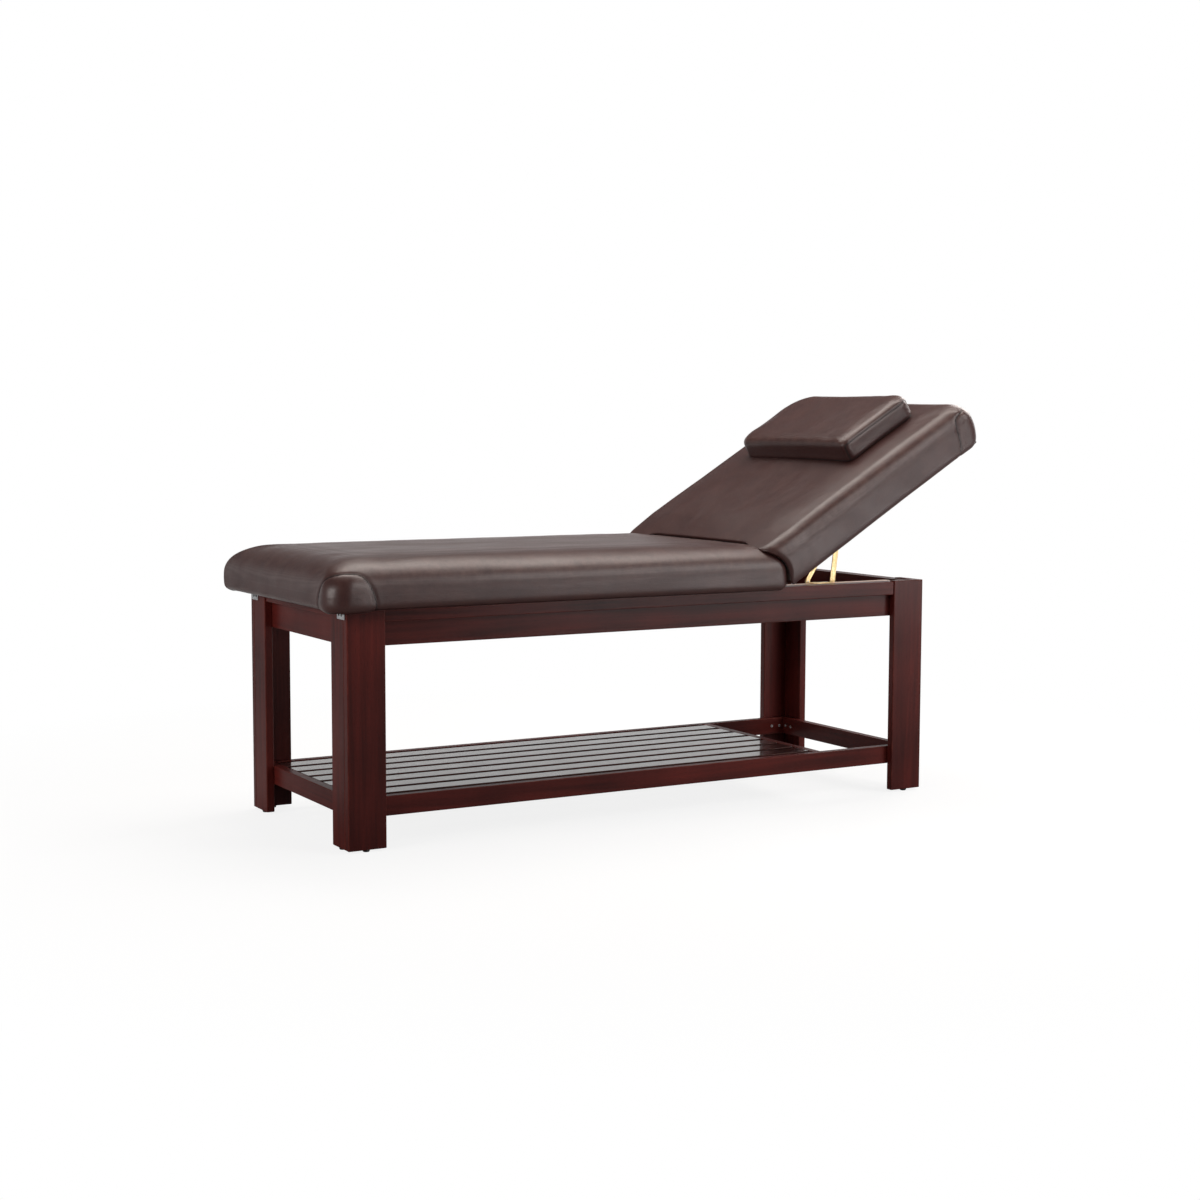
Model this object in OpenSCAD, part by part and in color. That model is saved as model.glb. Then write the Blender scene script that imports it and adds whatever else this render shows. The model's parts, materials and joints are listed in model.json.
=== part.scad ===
// Wooden facial bed with a fixed leg cushion, a tilting backrest on two pairs of
// steel arms, a loose head pillow and a slatted shelf between the legs.
// X runs from the foot end to the head end, Y away from the near side, Z up.
// The origin is the centre of the bed's outline on the floor.

/* [Frame] */
// Length of the wooden frame over the legs
frame_l = 1620; // [1560:10:1800]
// Width of the wooden frame over the legs
frame_w = 607; // [560:1:700]
// Height of the leg tops above the glides
leg_h = 550; // [500:5:640]
// Width of one leg board
leg_board_w = 93; // [80:1:110]
// Thickness of a leg board
leg_board_t = 20; // [18:0.5:24]
// Height of the nail-on glides under the legs
glide_h = 5; // [4:0.5:10]
// Diameter of a glide
glide_d = 17; // [12:0.5:18]

/* [Upper rails] */
// Height of the upper rails
rail_h = 90; // [70:1:110]
// Thickness of all rails
rail_t = 22; // [18:0.5:26]
// How far the rails end below the leg tops
rail_drop = 2.5; // [1:0.5:5]
// Height of the raised band on the long sides
band_h = 34; // [24:1:50]
// Height of the raised band on the short sides
end_band_h = 26; // [20:1:34]
// How far the bands lie back from the leg faces
band_recess = 3; // [1:0.5:6]
// Width of the cleats inside the long rails
cleat_w = 26; // [20:1:27]
// Height of the cleats
cleat_h = 30; // [22:1:40]
// Gap between a cleat and the head rail
cleat_gap = 28; // [10:1:60]
// Height of the cross beams
beam_h = 60; // [45:1:80]

/* [Shelf] */
// Height of the underside of the shelf rails above the leg bottoms
shelf_z = 69; // [50:1:140]
// Height of the shelf rails
shelf_rail_h = 45.5; // [36:0.5:70]
// Number of slats
slat_count = 7; // [5:1:8]
// Width of one slat
slat_w = 54; // [40:1:56]
// Thickness of a slat
slat_t = 15; // [10:0.5:20]
// Open length between the cross rail and the head shelf rail
shelf_well = 251; // [150:1:400]

/* [Leg cushion] */
// Length of the leg cushion
foot_pad_l = 1228; // [1180:1:1250]
// Width of both cushions
pad_w = 703; // [680:1:760]
// Overhang of the leg cushion past the foot end of the frame
foot_over = 56; // [40:1:80]
// Thickness of the leg cushion from its lower lip to its edge
foot_pad_t = 112; // [100:1:130]
// How far the cushion lip hangs below its board
lip_drop = 7; // [4:0.5:9]
// Radius of the soft upper edge, across
edge_r = 85; // [50:1:95]
// Radius of the soft upper edge, upward
edge_rz = 66; // [40:1:70]
// Corner radius of the cushions in plan
pad_corner_r = 32; // [24:1:60]
// Rise of the crown in the middle of a cushion
crown = 5; // [2:0.5:8]
// How far the long sides are drawn in
side_draw = 3; // [0:0.5:8]
// Thickness of the plywood boards under the cushions
board_t = 12; // [9:0.5:15]

/* [Backrest] */
// Length of the backrest cushion
back_l = 708; // [650:1:760]
// Thickness of the backrest cushion from its lower lip
back_pad_t = 122; // [112:1:135]
// Rest tilt of the backrest, as in the picture
tilt = 31; // [20:0.5:40]
// Highest tilt of the backrest
tilt_max = 45; // [42:0.5:48]
// Horizontal place of the hinge pins past the leg cushion
pivot_out = 4; // [3:0.5:8]
// Depth of the hinge pins below the leg tops
pivot_drop = 10; // [9:0.5:12]
// Height of the backrest board above the hinge line
board_rise = 20; // [18:0.5:24]
// Diameter of the hinge pins
hinge_pin_d = 8; // [6:0.5:9]

/* [Arms] */
// Half span of the main arm linkage
arm_reach = 208; // [195:1:210]
// Angle of the main arm pivot below the hinge line
arm_dip = 20.7; // [18:0.1:24]
// Half span of the stay linkage
stay_reach = 132; // [120:1:138]
// Angle of the stay pivot above the hinge line
stay_lift = 5; // [4:0.1:5.5]
// Width of an arm
arm_w = 15; // [12:0.5:16]
// Width of a stay
stay_w = 12; // [9:0.5:12.5]
// Thickness of the arm steel
arm_t = 3; // [2.5:0.1:3.5]
// Diameter of the arm pins
arm_pin_d = 7; // [5:0.5:8]

/* [Pillow] */
// Length of the pillow along the backrest
pillow_l = 255; // [200:1:300]
// Width of the pillow across the bed
pillow_w = 488; // [400:1:520]
// Thickness of the pillow at its edge
pillow_t = 66; // [50:1:80]
// Distance of the pillow from the hinge line
pillow_u = 382; // [330:1:400]
// Sideways shift of the pillow away from the near side
pillow_shift = 8; // [0:1:20]

/* [Hidden] */
$fn = 48;
fit = 0.3;
screw_d = 4;
screw_room = 0.05;
bore_room = 0.1;
screw_head_d = 8;
plate_t = 3;

// Levels measured from the floor
leg_top = glide_h + leg_h;
rail_top = leg_top - rail_drop;
rail_z = rail_top - rail_h;
shelf_rail_z = glide_h + shelf_z;
shelf_top = shelf_rail_z + shelf_rail_h;

// Places inside the frame, in the frame's own corner coordinates
inner_y0 = leg_board_t + rail_t;
inner_y1 = frame_w - inner_y0;
inner_x0 = leg_board_t + rail_t;
inner_x1 = frame_l - inner_x0;
cross_rail_x = inner_x1 - shelf_well - rail_t;
slat_gap = (inner_y1 - inner_y0 - slat_count * slat_w) / (slat_count + 1);
cleat_y = inner_y0 + cleat_w;
bearer_w = 20;
bearer_h = shelf_rail_h - slat_t;
bearer_x = [inner_x0, (inner_x0 + cross_rail_x - bearer_w) / 2, cross_rail_x - bearer_w];

// Cushions and their boards
side_over = (pad_w - frame_w) / 2;
board_in = 22;
board_room = 0.5;
foot_x0 = -foot_over;
foot_x1 = foot_x0 + foot_pad_l;
foot_board_z = leg_top;
// The lip hangs beside the frame only where the cushion reaches past it
lip_clear = 1;
lip_free = min(side_over, foot_over) > board_in + lip_clear;
foot_lip_z = foot_board_z - (lip_free ? lip_drop : 0);
foot_top_z = foot_lip_z + foot_pad_t;

// Hinge line
pivot_x = foot_x1 + pivot_out;
pivot_z = leg_top - pivot_drop;
cross_beam_x = [0.26 * foot_x1, 0.6 * foot_x1];
beam_x = foot_x1 - board_in - board_room - rail_t;

// Backrest, in coordinates along (u), across and above (w) the hinge line
back_u0 = 6;
back_u1 = back_u0 + back_l;
lip_above_hinge = 9;
back_lip_w = lip_above_hinge + board_rise - 20;
back_board_top = board_rise + board_t;
back_top_w = back_lip_w + back_pad_t;
back_edge_r = 44;
back_edge_rz = 48;
back_board_shift = 8;
lean_room = 1.5;
lip_r = 10;
lip_rz = 26;
foam_in = 62;
foam_cover = 26;
foot_core_top = foot_top_z - foam_cover;
back_core_top = back_top_w - foam_cover;
back_core_shift = 24;
cap_u = (foot_x1 - edge_r - pivot_x) * cos(tilt_max)
    + (foot_top_z - edge_rz - pivot_z) * sin(tilt_max)
    + sqrt(pow(edge_r * cos(tilt_max), 2) + pow(edge_rz * sin(tilt_max), 2));

face_knee = (cap_u * cos(tilt_max) + pivot_out - lean_room) / sin(tilt_max);

// Linkage: each arm turns about a point on the frame as far from the hinge line
// as the arm is long, so its upper pin stays on a straight line through the hinge
// line and the arm turns exactly twice as far as the backrest.
arm_pivot_x = pivot_x + arm_reach * cos(arm_dip);
arm_pivot_z = pivot_z - arm_reach * sin(arm_dip);
arm_angle = 2 * tilt + arm_dip;
stay_pivot_x = pivot_x + stay_reach * cos(stay_lift);
stay_pivot_z = pivot_z + stay_reach * sin(stay_lift);
stay_angle = 2 * tilt - stay_lift;
eye_r = arm_w / 2 + 2;
stay_eye_r = stay_w / 2;
stay_pin_d = 5;
side_gap = 0.5;
arm_y = cleat_y + plate_t + side_gap;
arm_track_y = arm_y + arm_t + side_gap;
stay_lug_y = arm_track_y + 2;
stay_lug_t = 2.5;
stay_y = stay_lug_y + stay_lug_t + side_gap;
stay_t = 2.5;
stay_track_y = stay_y + stay_t + side_gap;
track_t = 2.5;
track_drop = 10;
flange_w = 18;

// Pillow
pillow_edge_r = 34;
pillow_edge_rz = 28;
pillow_corner_r = 40;
pillow_crown = 6;
pillow_w0 = back_top_w + crown + fit;

// Points of a cushion outline in plan, with its sides drawn in between the corners
corner_steps = 5;
long_steps = 9;
short_steps = 6;
function arc(cx, cy, r, a0) =
    [for (k = [0:corner_steps]) let (a = a0 + 90 * k / corner_steps) [cx + r * cos(a), cy + r * sin(a)]];
function side(a, b, steps, bow) =
    [for (k = [1:steps - 1])
        let (s = k / steps, n = [a[1] - b[1], b[0] - a[0]] / norm(b - a))
            a + (b - a) * s + n * bow * sin(180 * s)];
function outline(x0, x1, y0, y1, r, bow) = concat(
    arc(x1 - r, y1 - r, r, 0),
    side([x1 - r, y1], [x0 + r, y1], long_steps, bow),
    arc(x0 + r, y1 - r, r, 90),
    side([x0, y1 - r], [x0, y0 + r], short_steps, bow),
    arc(x0 + r, y0 + r, r, 180),
    side([x0 + r, y0], [x1 - r, y0], long_steps, bow),
    arc(x1 - r, y0 + r, r, 270),
    side([x1, y0 + r], [x1, y1 - r], short_steps, bow));

// One ring of a cushion: [height, inset, bow, lean of the foot end, corner radius].
// The lip is raised to head_lip where the head end crosses the side rails.
lift_from = 8;
lift_over = 12;
function lifted(box, p, z, head_lip) =
    let (d = min(p[1] - box[2], box[3] - p[1]), s = min(1, max(0, (d - lift_from) / lift_over)))
        p[0] > box[1] - board_in - 1 ? max(z, z + s * (head_lip - z)) : z;
function ring_points(box, q, head_lip) =
    [for (p = outline(box[0] + q[1] + q[3], box[1] - q[1], box[2] + q[1], box[3] - q[1], q[4], q[2]))
        [p[0], p[1], lifted(box, p, q[0], head_lip)]];
function flat(lists) = [for (l = lists) each l];

// Corner radius at an inset: the corners open out into a dome toward the crown
dome_growth = 0.35;
function dome_r(box, r, inset) =
    min(r + dome_growth * inset, (min(box[1] - box[0], box[3] - box[2]) / 2 - inset) * 0.9);

// Rounded lower lip, side with a ring at height zm, soft upper edge, then the crown
lip_steps = 3;
edge_steps = 6;
crown_steps = 3;
function shell_rings(box, r, z0, z1, zm, er, erz, rise, reach, bow) = concat(
    [for (k = [0:lip_steps]) let (a = 90 * k / lip_steps, i = lip_r * (1 - sin(a)))
        [z0 + lip_rz * (1 - cos(a)), i, bow, 0, r - i]],
    [[min(max(zm, z0 + lip_rz + 1), z1 - erz - 1), 0, bow, 0, r]],
    [for (k = [0:edge_steps]) let (a = 90 * k / edge_steps, i = er * (1 - cos(a)))
        [z1 - erz * (1 - sin(a)), i, bow, 0, dome_r(box, r, i)]],
    [for (k = [1:crown_steps]) let (t = k / crown_steps, i = er + reach * t)
        [z1 + rise * (1 - pow(1 - t, 2)), i, bow * (1 - t), 0, dome_r(box, r, i)]]);

// Hollow for the foam core, then the recess that takes the board
lip_bevel = 3;
function recess_rings(z0, board_top, core_top, core_shift, board_shift) = [
    [core_top + fit, foam_in - fit, 0, core_shift, 1],
    [board_top, foam_in - fit, 0, core_shift, 1],
    [board_top, board_in, 0, board_shift, 1],
    [z0 + lip_bevel, board_in, 0, board_shift, 1],
    [z0, board_in - lip_bevel, 0, board_shift, 1]];

// Foot end of the backrest cushion leans back, so that it clears the leg cushion
function face_u(w) = min(cap_u, (w * sin(tilt_max) - pivot_out + lean_room) / cos(tilt_max));
function lean(w, inset) = max(0, face_u(w) - back_u0 - (w < back_lip_w + lip_rz ? inset : 0));

crown_reach = 150;
foot_head_lip = foot_board_z - (lip_free ? lip_clear : 0);
foot_box = [foot_x0, foot_x1, -side_over, frame_w + side_over];
foot_rings = concat(
    recess_rings(foot_lip_z, foot_board_z + board_t, foot_core_top, 0, 0),
    shell_rings(foot_box, pad_corner_r, foot_lip_z, foot_top_z, foot_lip_z + foot_pad_t / 3, edge_r, edge_rz,
        crown, crown_reach, side_draw));
back_box = [back_u0, back_u1, -side_over, frame_w + side_over];
back_rings = concat(
    recess_rings(back_lip_w, back_board_top, back_core_top, back_core_shift, back_board_shift),
    [for (q = shell_rings(back_box, pad_corner_r, back_lip_w, back_top_w, face_knee, back_edge_r,
        back_edge_rz, crown, crown_reach, side_draw)) [q[0], q[1], q[2], lean(q[0], q[1]), q[4]]]);
back_points = flat([for (q = back_rings) ring_points(back_box, q, back_lip_w)]);

// The origin is the middle of the outline, from the leg cushion to the raised backrest
x_max = max([for (p = back_points) pivot_x + p[0] * cos(tilt) - p[2] * sin(tilt)]);
x_mid = (foot_x0 + x_max) / 2;

// Colours
wood = [0.27, 0.14, 0.12];
wood_top = [0.62, 0.46, 0.38];
leather = [0.29, 0.22, 0.21];
zinc = [0.93, 0.87, 0.70];
steel = [0.75, 0.76, 0.78];
ply = [0.72, 0.58, 0.42];
foam = [0.95, 0.90, 0.72];
black = [0.12, 0.11, 0.11];

// Placing helpers
module place() translate([-x_mid, -frame_w / 2, 0]) children();
module at_corner(head, far)
    translate([head ? frame_l : 0, far ? frame_w : 0, 0])
        mirror([head ? 1 : 0, 0, 0]) mirror([0, far ? 1 : 0, 0]) children();
module at_corners() for (head = [false, true], far = [false, true]) at_corner(head, far) children();
module at_side(far) translate([0, far ? frame_w : 0, 0]) mirror([0, far ? 1 : 0, 0]) children();
module both_sides() for (far = [false, true]) at_side(far) children();
module tilted() translate([pivot_x, 0, pivot_z]) rotate([0, -tilt, 0]) children();
module along_y(x, y, z, l, d) translate([x, y, z]) rotate([-90, 0, 0]) cylinder(h = l, d = d);

// Countersunk wood screw, head at the origin, pointing along +Z
module screw(l) rotate_extrude() polygon([[0, 0], [screw_head_d / 2, 0], [screw_d / 2, 2.5],
    [screw_d / 2, l - 3], [0.4, l], [0, l]]);
module screw_bore(l) rotate_extrude() polygon([[0, -1], [screw_head_d / 2 + screw_room, -1],
    [screw_head_d / 2 + screw_room, 0], [screw_d / 2 + screw_room, 2.5], [screw_d / 2 + screw_room, l + 0.2],
    [0, l + 0.2]]);

// Screws of one leg corner, in corner coordinates: two through each upper rail
// and two through each shelf rail, from inside into the leg boards
screw_l = rail_t + 12;
side_rail_screw_z = rail_z + rail_h * 0.3;
end_rail_screw_z = rail_z + rail_h * 0.47;
shelf_screw_z = shelf_rail_z + shelf_rail_h / 2;
side_screw_x = [inner_x0 + 12, leg_board_w - 13];
end_screw_y = [inner_y0 + 12, leg_board_w - 13];
module corner_screws() {
    for (x = side_screw_x, z = [side_rail_screw_z, shelf_screw_z])
        translate([x, inner_y0, z]) rotate([90, 0, 0]) children();
    for (y = end_screw_y, z = [end_rail_screw_z, shelf_screw_z])
        translate([inner_x0, y, z]) rotate([0, -90, 0]) children();
}

// Glides: a disc with a nail, two under each leg
glide_nail_l = 14;
glide_nail_d = 3;
module glide_places() for (p = [[leg_board_w / 2, leg_board_t / 2], [leg_board_t / 2, leg_board_w * 0.62]])
    translate([p[0], p[1], 0]) children();
module nail_bore() translate([0, 0, glide_h - 1])
    cylinder(h = glide_nail_l + 1.2, d = glide_nail_d + bore_room);
module glides() color(black) place() at_corners() glide_places() {
    cylinder(h = glide_h, d1 = glide_d - 2, d2 = glide_d);
    cylinder(h = glide_h + glide_nail_l, d = glide_nail_d);
}

// Legs: two boards set in an L
module leg_side(head, far) color(wood) place() at_corner(head, far) difference() {
    translate([0, 0, glide_h]) cube([leg_board_w, leg_board_t, leg_h]);
    corner_screws() screw_bore(screw_l);
    glide_places() nail_bore();
}
module leg_end(head, far) color(wood) place() at_corner(head, far) difference() {
    translate([0, leg_board_t, glide_h]) cube([leg_board_t, leg_board_w - leg_board_t, leg_h]);
    corner_screws() screw_bore(screw_l);
    glide_places() nail_bore();
    if (!head) bracket_holes();
}
module frame_screws() color(steel) place() at_corners() corner_screws() screw(screw_l);

// Rails between the legs
module side_rail(z, h, far) color(wood) place() difference() {
    at_side(far) translate([leg_board_t, leg_board_t, z]) cube([frame_l - 2 * leg_board_t, rail_t, h]);
    at_corners() corner_screws() screw_bore(screw_l);
    both_sides() cleat_screws_at() screw_bore(cleat_screw_l);
    dowel_holes();
}
module end_rail(z, h, head) color(wood) place() difference() {
    translate([head ? inner_x1 : leg_board_t, inner_y0, z]) cube([rail_t, inner_y1 - inner_y0, h]);
    at_corners() corner_screws() screw_bore(screw_l);
}
module side_band(far) color(wood) place() at_side(far)
    translate([leg_board_w, band_recess, rail_top - band_h])
        cube([frame_l - 2 * leg_board_w, leg_board_t - band_recess, band_h]);
module end_band(head) color(wood) place() at_corner(head, false)
    translate([band_recess, leg_board_w, rail_top - end_band_h])
        cube([leg_board_t - band_recess, frame_w - 2 * leg_board_w, end_band_h]);
module cleat(far) color(wood_top) place() at_side(far) difference() {
    translate([pivot_x, inner_y0, rail_top - cleat_h]) cube([cleat_x1 - pivot_x, cleat_w, cleat_h]);
    cleat_holes();
}
module beam(x) translate([x, inner_y0, leg_top - beam_h]) cube([rail_t, inner_y1 - inner_y0, beam_h]);
module cross_beams() color(wood) place() difference() {
    for (x = cross_beam_x) beam(x);
    dowel_holes();
}
module hinge_beam() color(wood) place() difference() {
    beam(beam_x);
    hinge_holes();
    dowel_holes();
}

// Dowels between the cross pieces and the long rails
dowel_d = 8;
dowel_in_rail = 12;
dowel_in_beam = 18;
module dowel_places() both_sides() {
    for (x = concat(cross_beam_x, [beam_x])) translate([x + rail_t / 2, inner_y0, leg_top - beam_h / 2])
        children();
    for (x = bearer_x) translate([x + bearer_w / 2, inner_y0, shelf_rail_z + bearer_h * 0.35]) children();
    translate([cross_rail_x + rail_t / 2, inner_y0, shelf_rail_z + shelf_rail_h / 2]) children();
}
module dowels() color(ply) place() dowel_places()
    along_y(0, -dowel_in_rail, 0, dowel_in_rail + dowel_in_beam, dowel_d);
module dowel_holes() dowel_places()
    along_y(0, -dowel_in_rail - fit, 0, dowel_in_rail + dowel_in_beam + 2 * fit, dowel_d + bore_room);

// Shelf: four rails, a cross rail, three bearers and the slats on them
module shelf_cross_rail() color(wood) place() difference() {
    translate([cross_rail_x, inner_y0, shelf_rail_z]) cube([rail_t, inner_y1 - inner_y0, shelf_rail_h]);
    dowel_holes();
}
module shelf_bearers() color(wood) place() difference() {
    for (x = bearer_x) translate([x, inner_y0, shelf_rail_z]) cube([bearer_w, inner_y1 - inner_y0, bearer_h]);
    dowel_holes();
}
module slats(k0, k1) color(wood) place() for (k = [k0:k1])
    translate([inner_x0, inner_y0 + slat_gap + k * (slat_w + slat_gap), shelf_top - slat_t])
        cube([cross_rail_x - inner_x0, slat_w, slat_t]);
slat_mid = ceil(slat_count / 2);

// Closed cushion form from rings of equal point counts, with a point in the middle
// of the first and of the last ring
module form(box, rings, head_lip) {
    n = len(ring_points(box, rings[0], head_lip));
    m = len(rings);
    mid = [(box[0] + box[1]) / 2, (box[2] + box[3]) / 2];
    walls = [for (j = [0:m - 2], i = [0:n - 1]) [j * n + i, j * n + (i + 1) % n]];
    polyhedron(
        points = concat(flat([for (q = rings) ring_points(box, q, head_lip)]),
            [[mid[0], mid[1], rings[0][0]], [mid[0], mid[1], rings[m - 1][0]]]),
        faces = concat(
            [for (i = [0:n - 1]) [m * n, i, (i + 1) % n]],
            [for (w = walls) [w[0], w[0] + n, w[1]]],
            [for (w = walls) [w[1], w[0] + n, w[1] + n]],
            [for (i = [0:n - 1]) [m * n + 1, (m - 1) * n + (i + 1) % n, (m - 1) * n + i]]));
}

// Flat slab inside a cushion box, the same distance from all its sides
module slab(box, inset, shift, z0, z1) translate([box[0] + inset + shift, box[2] + inset, z0])
    cube([box[1] - box[0] - 2 * inset - shift, box[3] - box[2] - 2 * inset, z1 - z0]);

// Leg cushion on its board
module foot_board() color(ply) place() difference() {
    slab(foot_box, board_in + board_room, 0, foot_board_z, foot_board_z + board_t);
    both_sides() bracket_holes();
}
module foot_foam() color(foam) place()
    slab(foot_box, foam_in + fit, 0, foot_board_z + board_t, foot_core_top);
module foot_cushion() color(leather) place() form(foot_box, foot_rings, foot_head_lip);

// Angle brackets that hold the leg cushion to the foot legs
bracket_w = 42;
bracket_y = 9;
bracket_h = 29;
bracket_t = 2;
bracket_out = 26;
bracket_screw_l = 10;
bracket_screw_y = [bracket_y + bracket_w * 0.4, bracket_y + bracket_w * 0.75];
module bracket_screws_at() {
    for (y = bracket_screw_y) translate([-bracket_t, y, leg_top - bracket_h + 10])
        rotate([0, 90, 0]) children();
    for (y = bracket_screw_y) translate([-bracket_out * 0.6, y, leg_top - bracket_t])
        children();
}
module bracket_holes() bracket_screws_at() screw_bore(bracket_screw_l);
module foot_brackets() color(steel) place() both_sides() difference() {
    union() {
        translate([-bracket_t, bracket_y, leg_top - bracket_h]) cube([bracket_t, bracket_w, bracket_h]);
        translate([-bracket_out, bracket_y, leg_top - bracket_t]) cube([bracket_out, bracket_w, bracket_t]);
    }
    bracket_holes();
}

// Three pin hinges between the hinge beam and the backrest board: a plate with two
// lugs, and a strap whose eye turns between them
hinge_w = 50;
hinge_eye_r = 8;
hinge_screw_l = 18;
hinge_plate_h = 36;
hinge_plate_top = foot_lip_z - 1;
hinge_ys = [frame_w * 0.2, frame_w * 0.5, frame_w * 0.8];
hinge_face_x = beam_x + rail_t;
lug_gap = 0.5;
strap_t = 4;
strap_bar = 6;
strap_u0 = back_u0 + board_in + back_board_shift + 6;
strap_l = 60;
hinge_screw_y = 16;
module at_hinges() for (y = hinge_ys) translate([0, y, 0]) children();
hinge_screw_z = [hinge_plate_h / 4, hinge_plate_h * 3 / 4];
module hinge_screws_at() for (y = [-hinge_screw_y, hinge_screw_y], z = hinge_screw_z)
    translate([hinge_face_x + plate_t, y, hinge_plate_top - z]) rotate([0, -90, 0]) children();
module hinge_holes() at_hinges() hinge_screws_at() screw_bore(hinge_screw_l);
module hinge_lug(y) {
    along_y(pivot_x, y, pivot_z, plate_t, 2 * hinge_eye_r);
    translate([hinge_face_x, y, pivot_z - hinge_eye_r])
        cube([pivot_x - hinge_face_x, plate_t, hinge_plate_top - pivot_z + hinge_eye_r]);
}
module hinge_brackets() color(zinc) place() difference() {
    at_hinges() {
        translate([hinge_face_x, -hinge_w / 2, hinge_plate_top - hinge_plate_h])
            cube([plate_t, hinge_w, hinge_plate_h]);
        hinge_lug(strap_t / 2 + lug_gap);
        hinge_lug(-strap_t / 2 - lug_gap - plate_t);
    }
    hinge_holes();
    at_hinges() along_y(pivot_x, -hinge_w, pivot_z, 2 * hinge_w, hinge_pin_d + bore_room);
}
module strap_screws_at() at_hinges() for (u = [12, strap_l - 12], y = [-hinge_screw_y, hinge_screw_y])
    translate([strap_u0 + u, y, board_rise - plate_t]) children();
module hinge_straps() color(zinc) place() tilted() difference() {
    at_hinges() {
        along_y(0, -strap_t / 2, 0, strap_t, 2 * hinge_eye_r);
        translate([0, -strap_t / 2, -strap_bar]) cube([strap_u0 + strap_l, strap_t, 2 * strap_bar]);
        translate([strap_u0, -strap_t / 2, 0]) cube([strap_l, strap_t, board_rise - 1]);
        translate([strap_u0, -hinge_w / 2, board_rise - plate_t]) cube([strap_l, hinge_w, plate_t]);
    }
    strap_screws_at() screw_bore(strap_screw_l);
    at_hinges() along_y(0, -hinge_w, 0, 2 * hinge_w, hinge_pin_d + bore_room);
}
pin_y = strap_t / 2 + lug_gap + plate_t;
module hinge_pins() color(steel) place() at_hinges() {
    along_y(pivot_x, -pin_y - 1, pivot_z, 2 * pin_y + 3, hinge_pin_d);
    along_y(pivot_x, -pin_y - 2.5, pivot_z, 2, hinge_pin_d + 4);
}

// Backrest cushion on its board
module back_board() color(ply) place() tilted() difference() {
    slab(back_box, board_in + board_room, back_board_shift, board_rise, back_board_top);
    strap_screws_at() screw_bore(strap_screw_l);
    both_sides() track_screws_at() screw_bore(strap_screw_l);
    both_sides() block_screws_at() screw_bore(block_screw_l);
}
module back_foam() color(foam) place() tilted()
    slab(back_box, foam_in + fit, back_core_shift, back_board_top, back_core_top);
module back_cushion() color(leather) place() tilted() form(back_box, back_rings, back_lip_w);

// Blocks under the backrest board that land on the head legs when it lies flat, clear
// of the lip of the cushion
block_l = 66;
block_w = 50;
block_rise = 0.4;
block_lip_clear = 1;
block_edge = 5;
block_y = max(block_edge, board_in + block_lip_clear - side_over);
block_u = frame_l - leg_board_w + 10 - pivot_x;
block_screw_l = 18;
module block_screws_at() for (u = [16, block_l - 16])
    translate([block_u + u, block_y + block_w / 2, pivot_drop + block_rise]) children();
module rest_blocks() color(wood) place() tilted() both_sides() difference() {
    translate([block_u, block_y, pivot_drop + block_rise])
        cube([block_l, block_w, board_rise - pivot_drop - block_rise]);
    block_screws_at() screw_bore(block_screw_l);
}

// Slotted tracks under the backrest board: a web with the slot and a flange
arm_far_u = 2 * arm_reach * cos(arm_dip);
arm_near_u = 2 * arm_reach * cos(tilt_max + arm_dip);
stay_far_u = 2 * stay_reach;
stay_near_u = 2 * stay_reach * cos(tilt_max - stay_lift);
track_end = 6;
strap_screw_l = 11;
module track(y, flange_y, u0, u1, pin_d) difference() {
    union() {
        translate([u0 - pin_d / 2 - track_end, y, -track_drop])
            cube([u1 - u0 + pin_d + 2 * track_end, track_t, board_rise + track_drop]);
        translate([u0 - pin_d / 2 - track_end, flange_y, board_rise - track_t])
            cube([u1 - u0 + pin_d + 2 * track_end, flange_w, track_t]);
    }
    for (u = [u0, u1]) along_y(u, y - 1, 0, track_t + 2, pin_d + 2 * fit);
    translate([u0, y - 1, -pin_d / 2 - fit]) cube([u1 - u0, track_t + 2, pin_d + 2 * fit]);
    track_screws_at() screw_bore(strap_screw_l);
}
module track_screws_at() {
    for (u = [arm_near_u + 10, (arm_near_u + arm_far_u) / 2, arm_far_u - 10])
        translate([u, arm_track_y - flange_w / 2 + 2, board_rise - track_t]) children();
    for (u = [stay_near_u + 5, stay_far_u - 5])
        translate([u, stay_track_y + flange_w / 2 + 2, board_rise - track_t]) children();
}
module arm_tracks() color(zinc) place() tilted() both_sides()
    track(arm_track_y, arm_track_y + track_t - flange_w, arm_near_u, arm_far_u, arm_pin_d);
module stay_tracks() color(zinc) place() tilted() both_sides()
    track(stay_track_y, stay_track_y, stay_near_u, stay_far_u, stay_pin_d);
module back_screws() color(steel) place() tilted() {
    strap_screws_at() screw(strap_screw_l);
    both_sides() track_screws_at() screw(strap_screw_l);
    both_sides() block_screws_at() screw(block_screw_l);
}

// Flat steel bar with an eye at each end, from its lower pin along +X
module bar(l, w, t, r, d) difference() {
    union() {
        along_y(0, 0, 0, t, 2 * r);
        along_y(l, 0, 0, t, 2 * r);
        translate([0, 0, -w / 2]) cube([l, t, w]);
    }
    for (x = [0, l]) along_y(x, -1, 0, t + 2, d + bore_room);
}
module at_arm(far) at_side(far)
    translate([arm_pivot_x, 0, arm_pivot_z]) rotate([0, -arm_angle, 0]) children();
module at_stay(far) at_side(far)
    translate([stay_pivot_x, 0, stay_pivot_z]) rotate([0, -stay_angle, 0]) children();
module arm(far) color(zinc) place() at_arm(far) translate([0, arm_y, 0])
    bar(arm_reach, arm_w, arm_t, eye_r, arm_pin_d);
module stay(far) color(zinc) place() at_stay(far) translate([0, stay_y, 0])
    bar(stay_reach, stay_w, stay_t, stay_eye_r, stay_pin_d);
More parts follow.
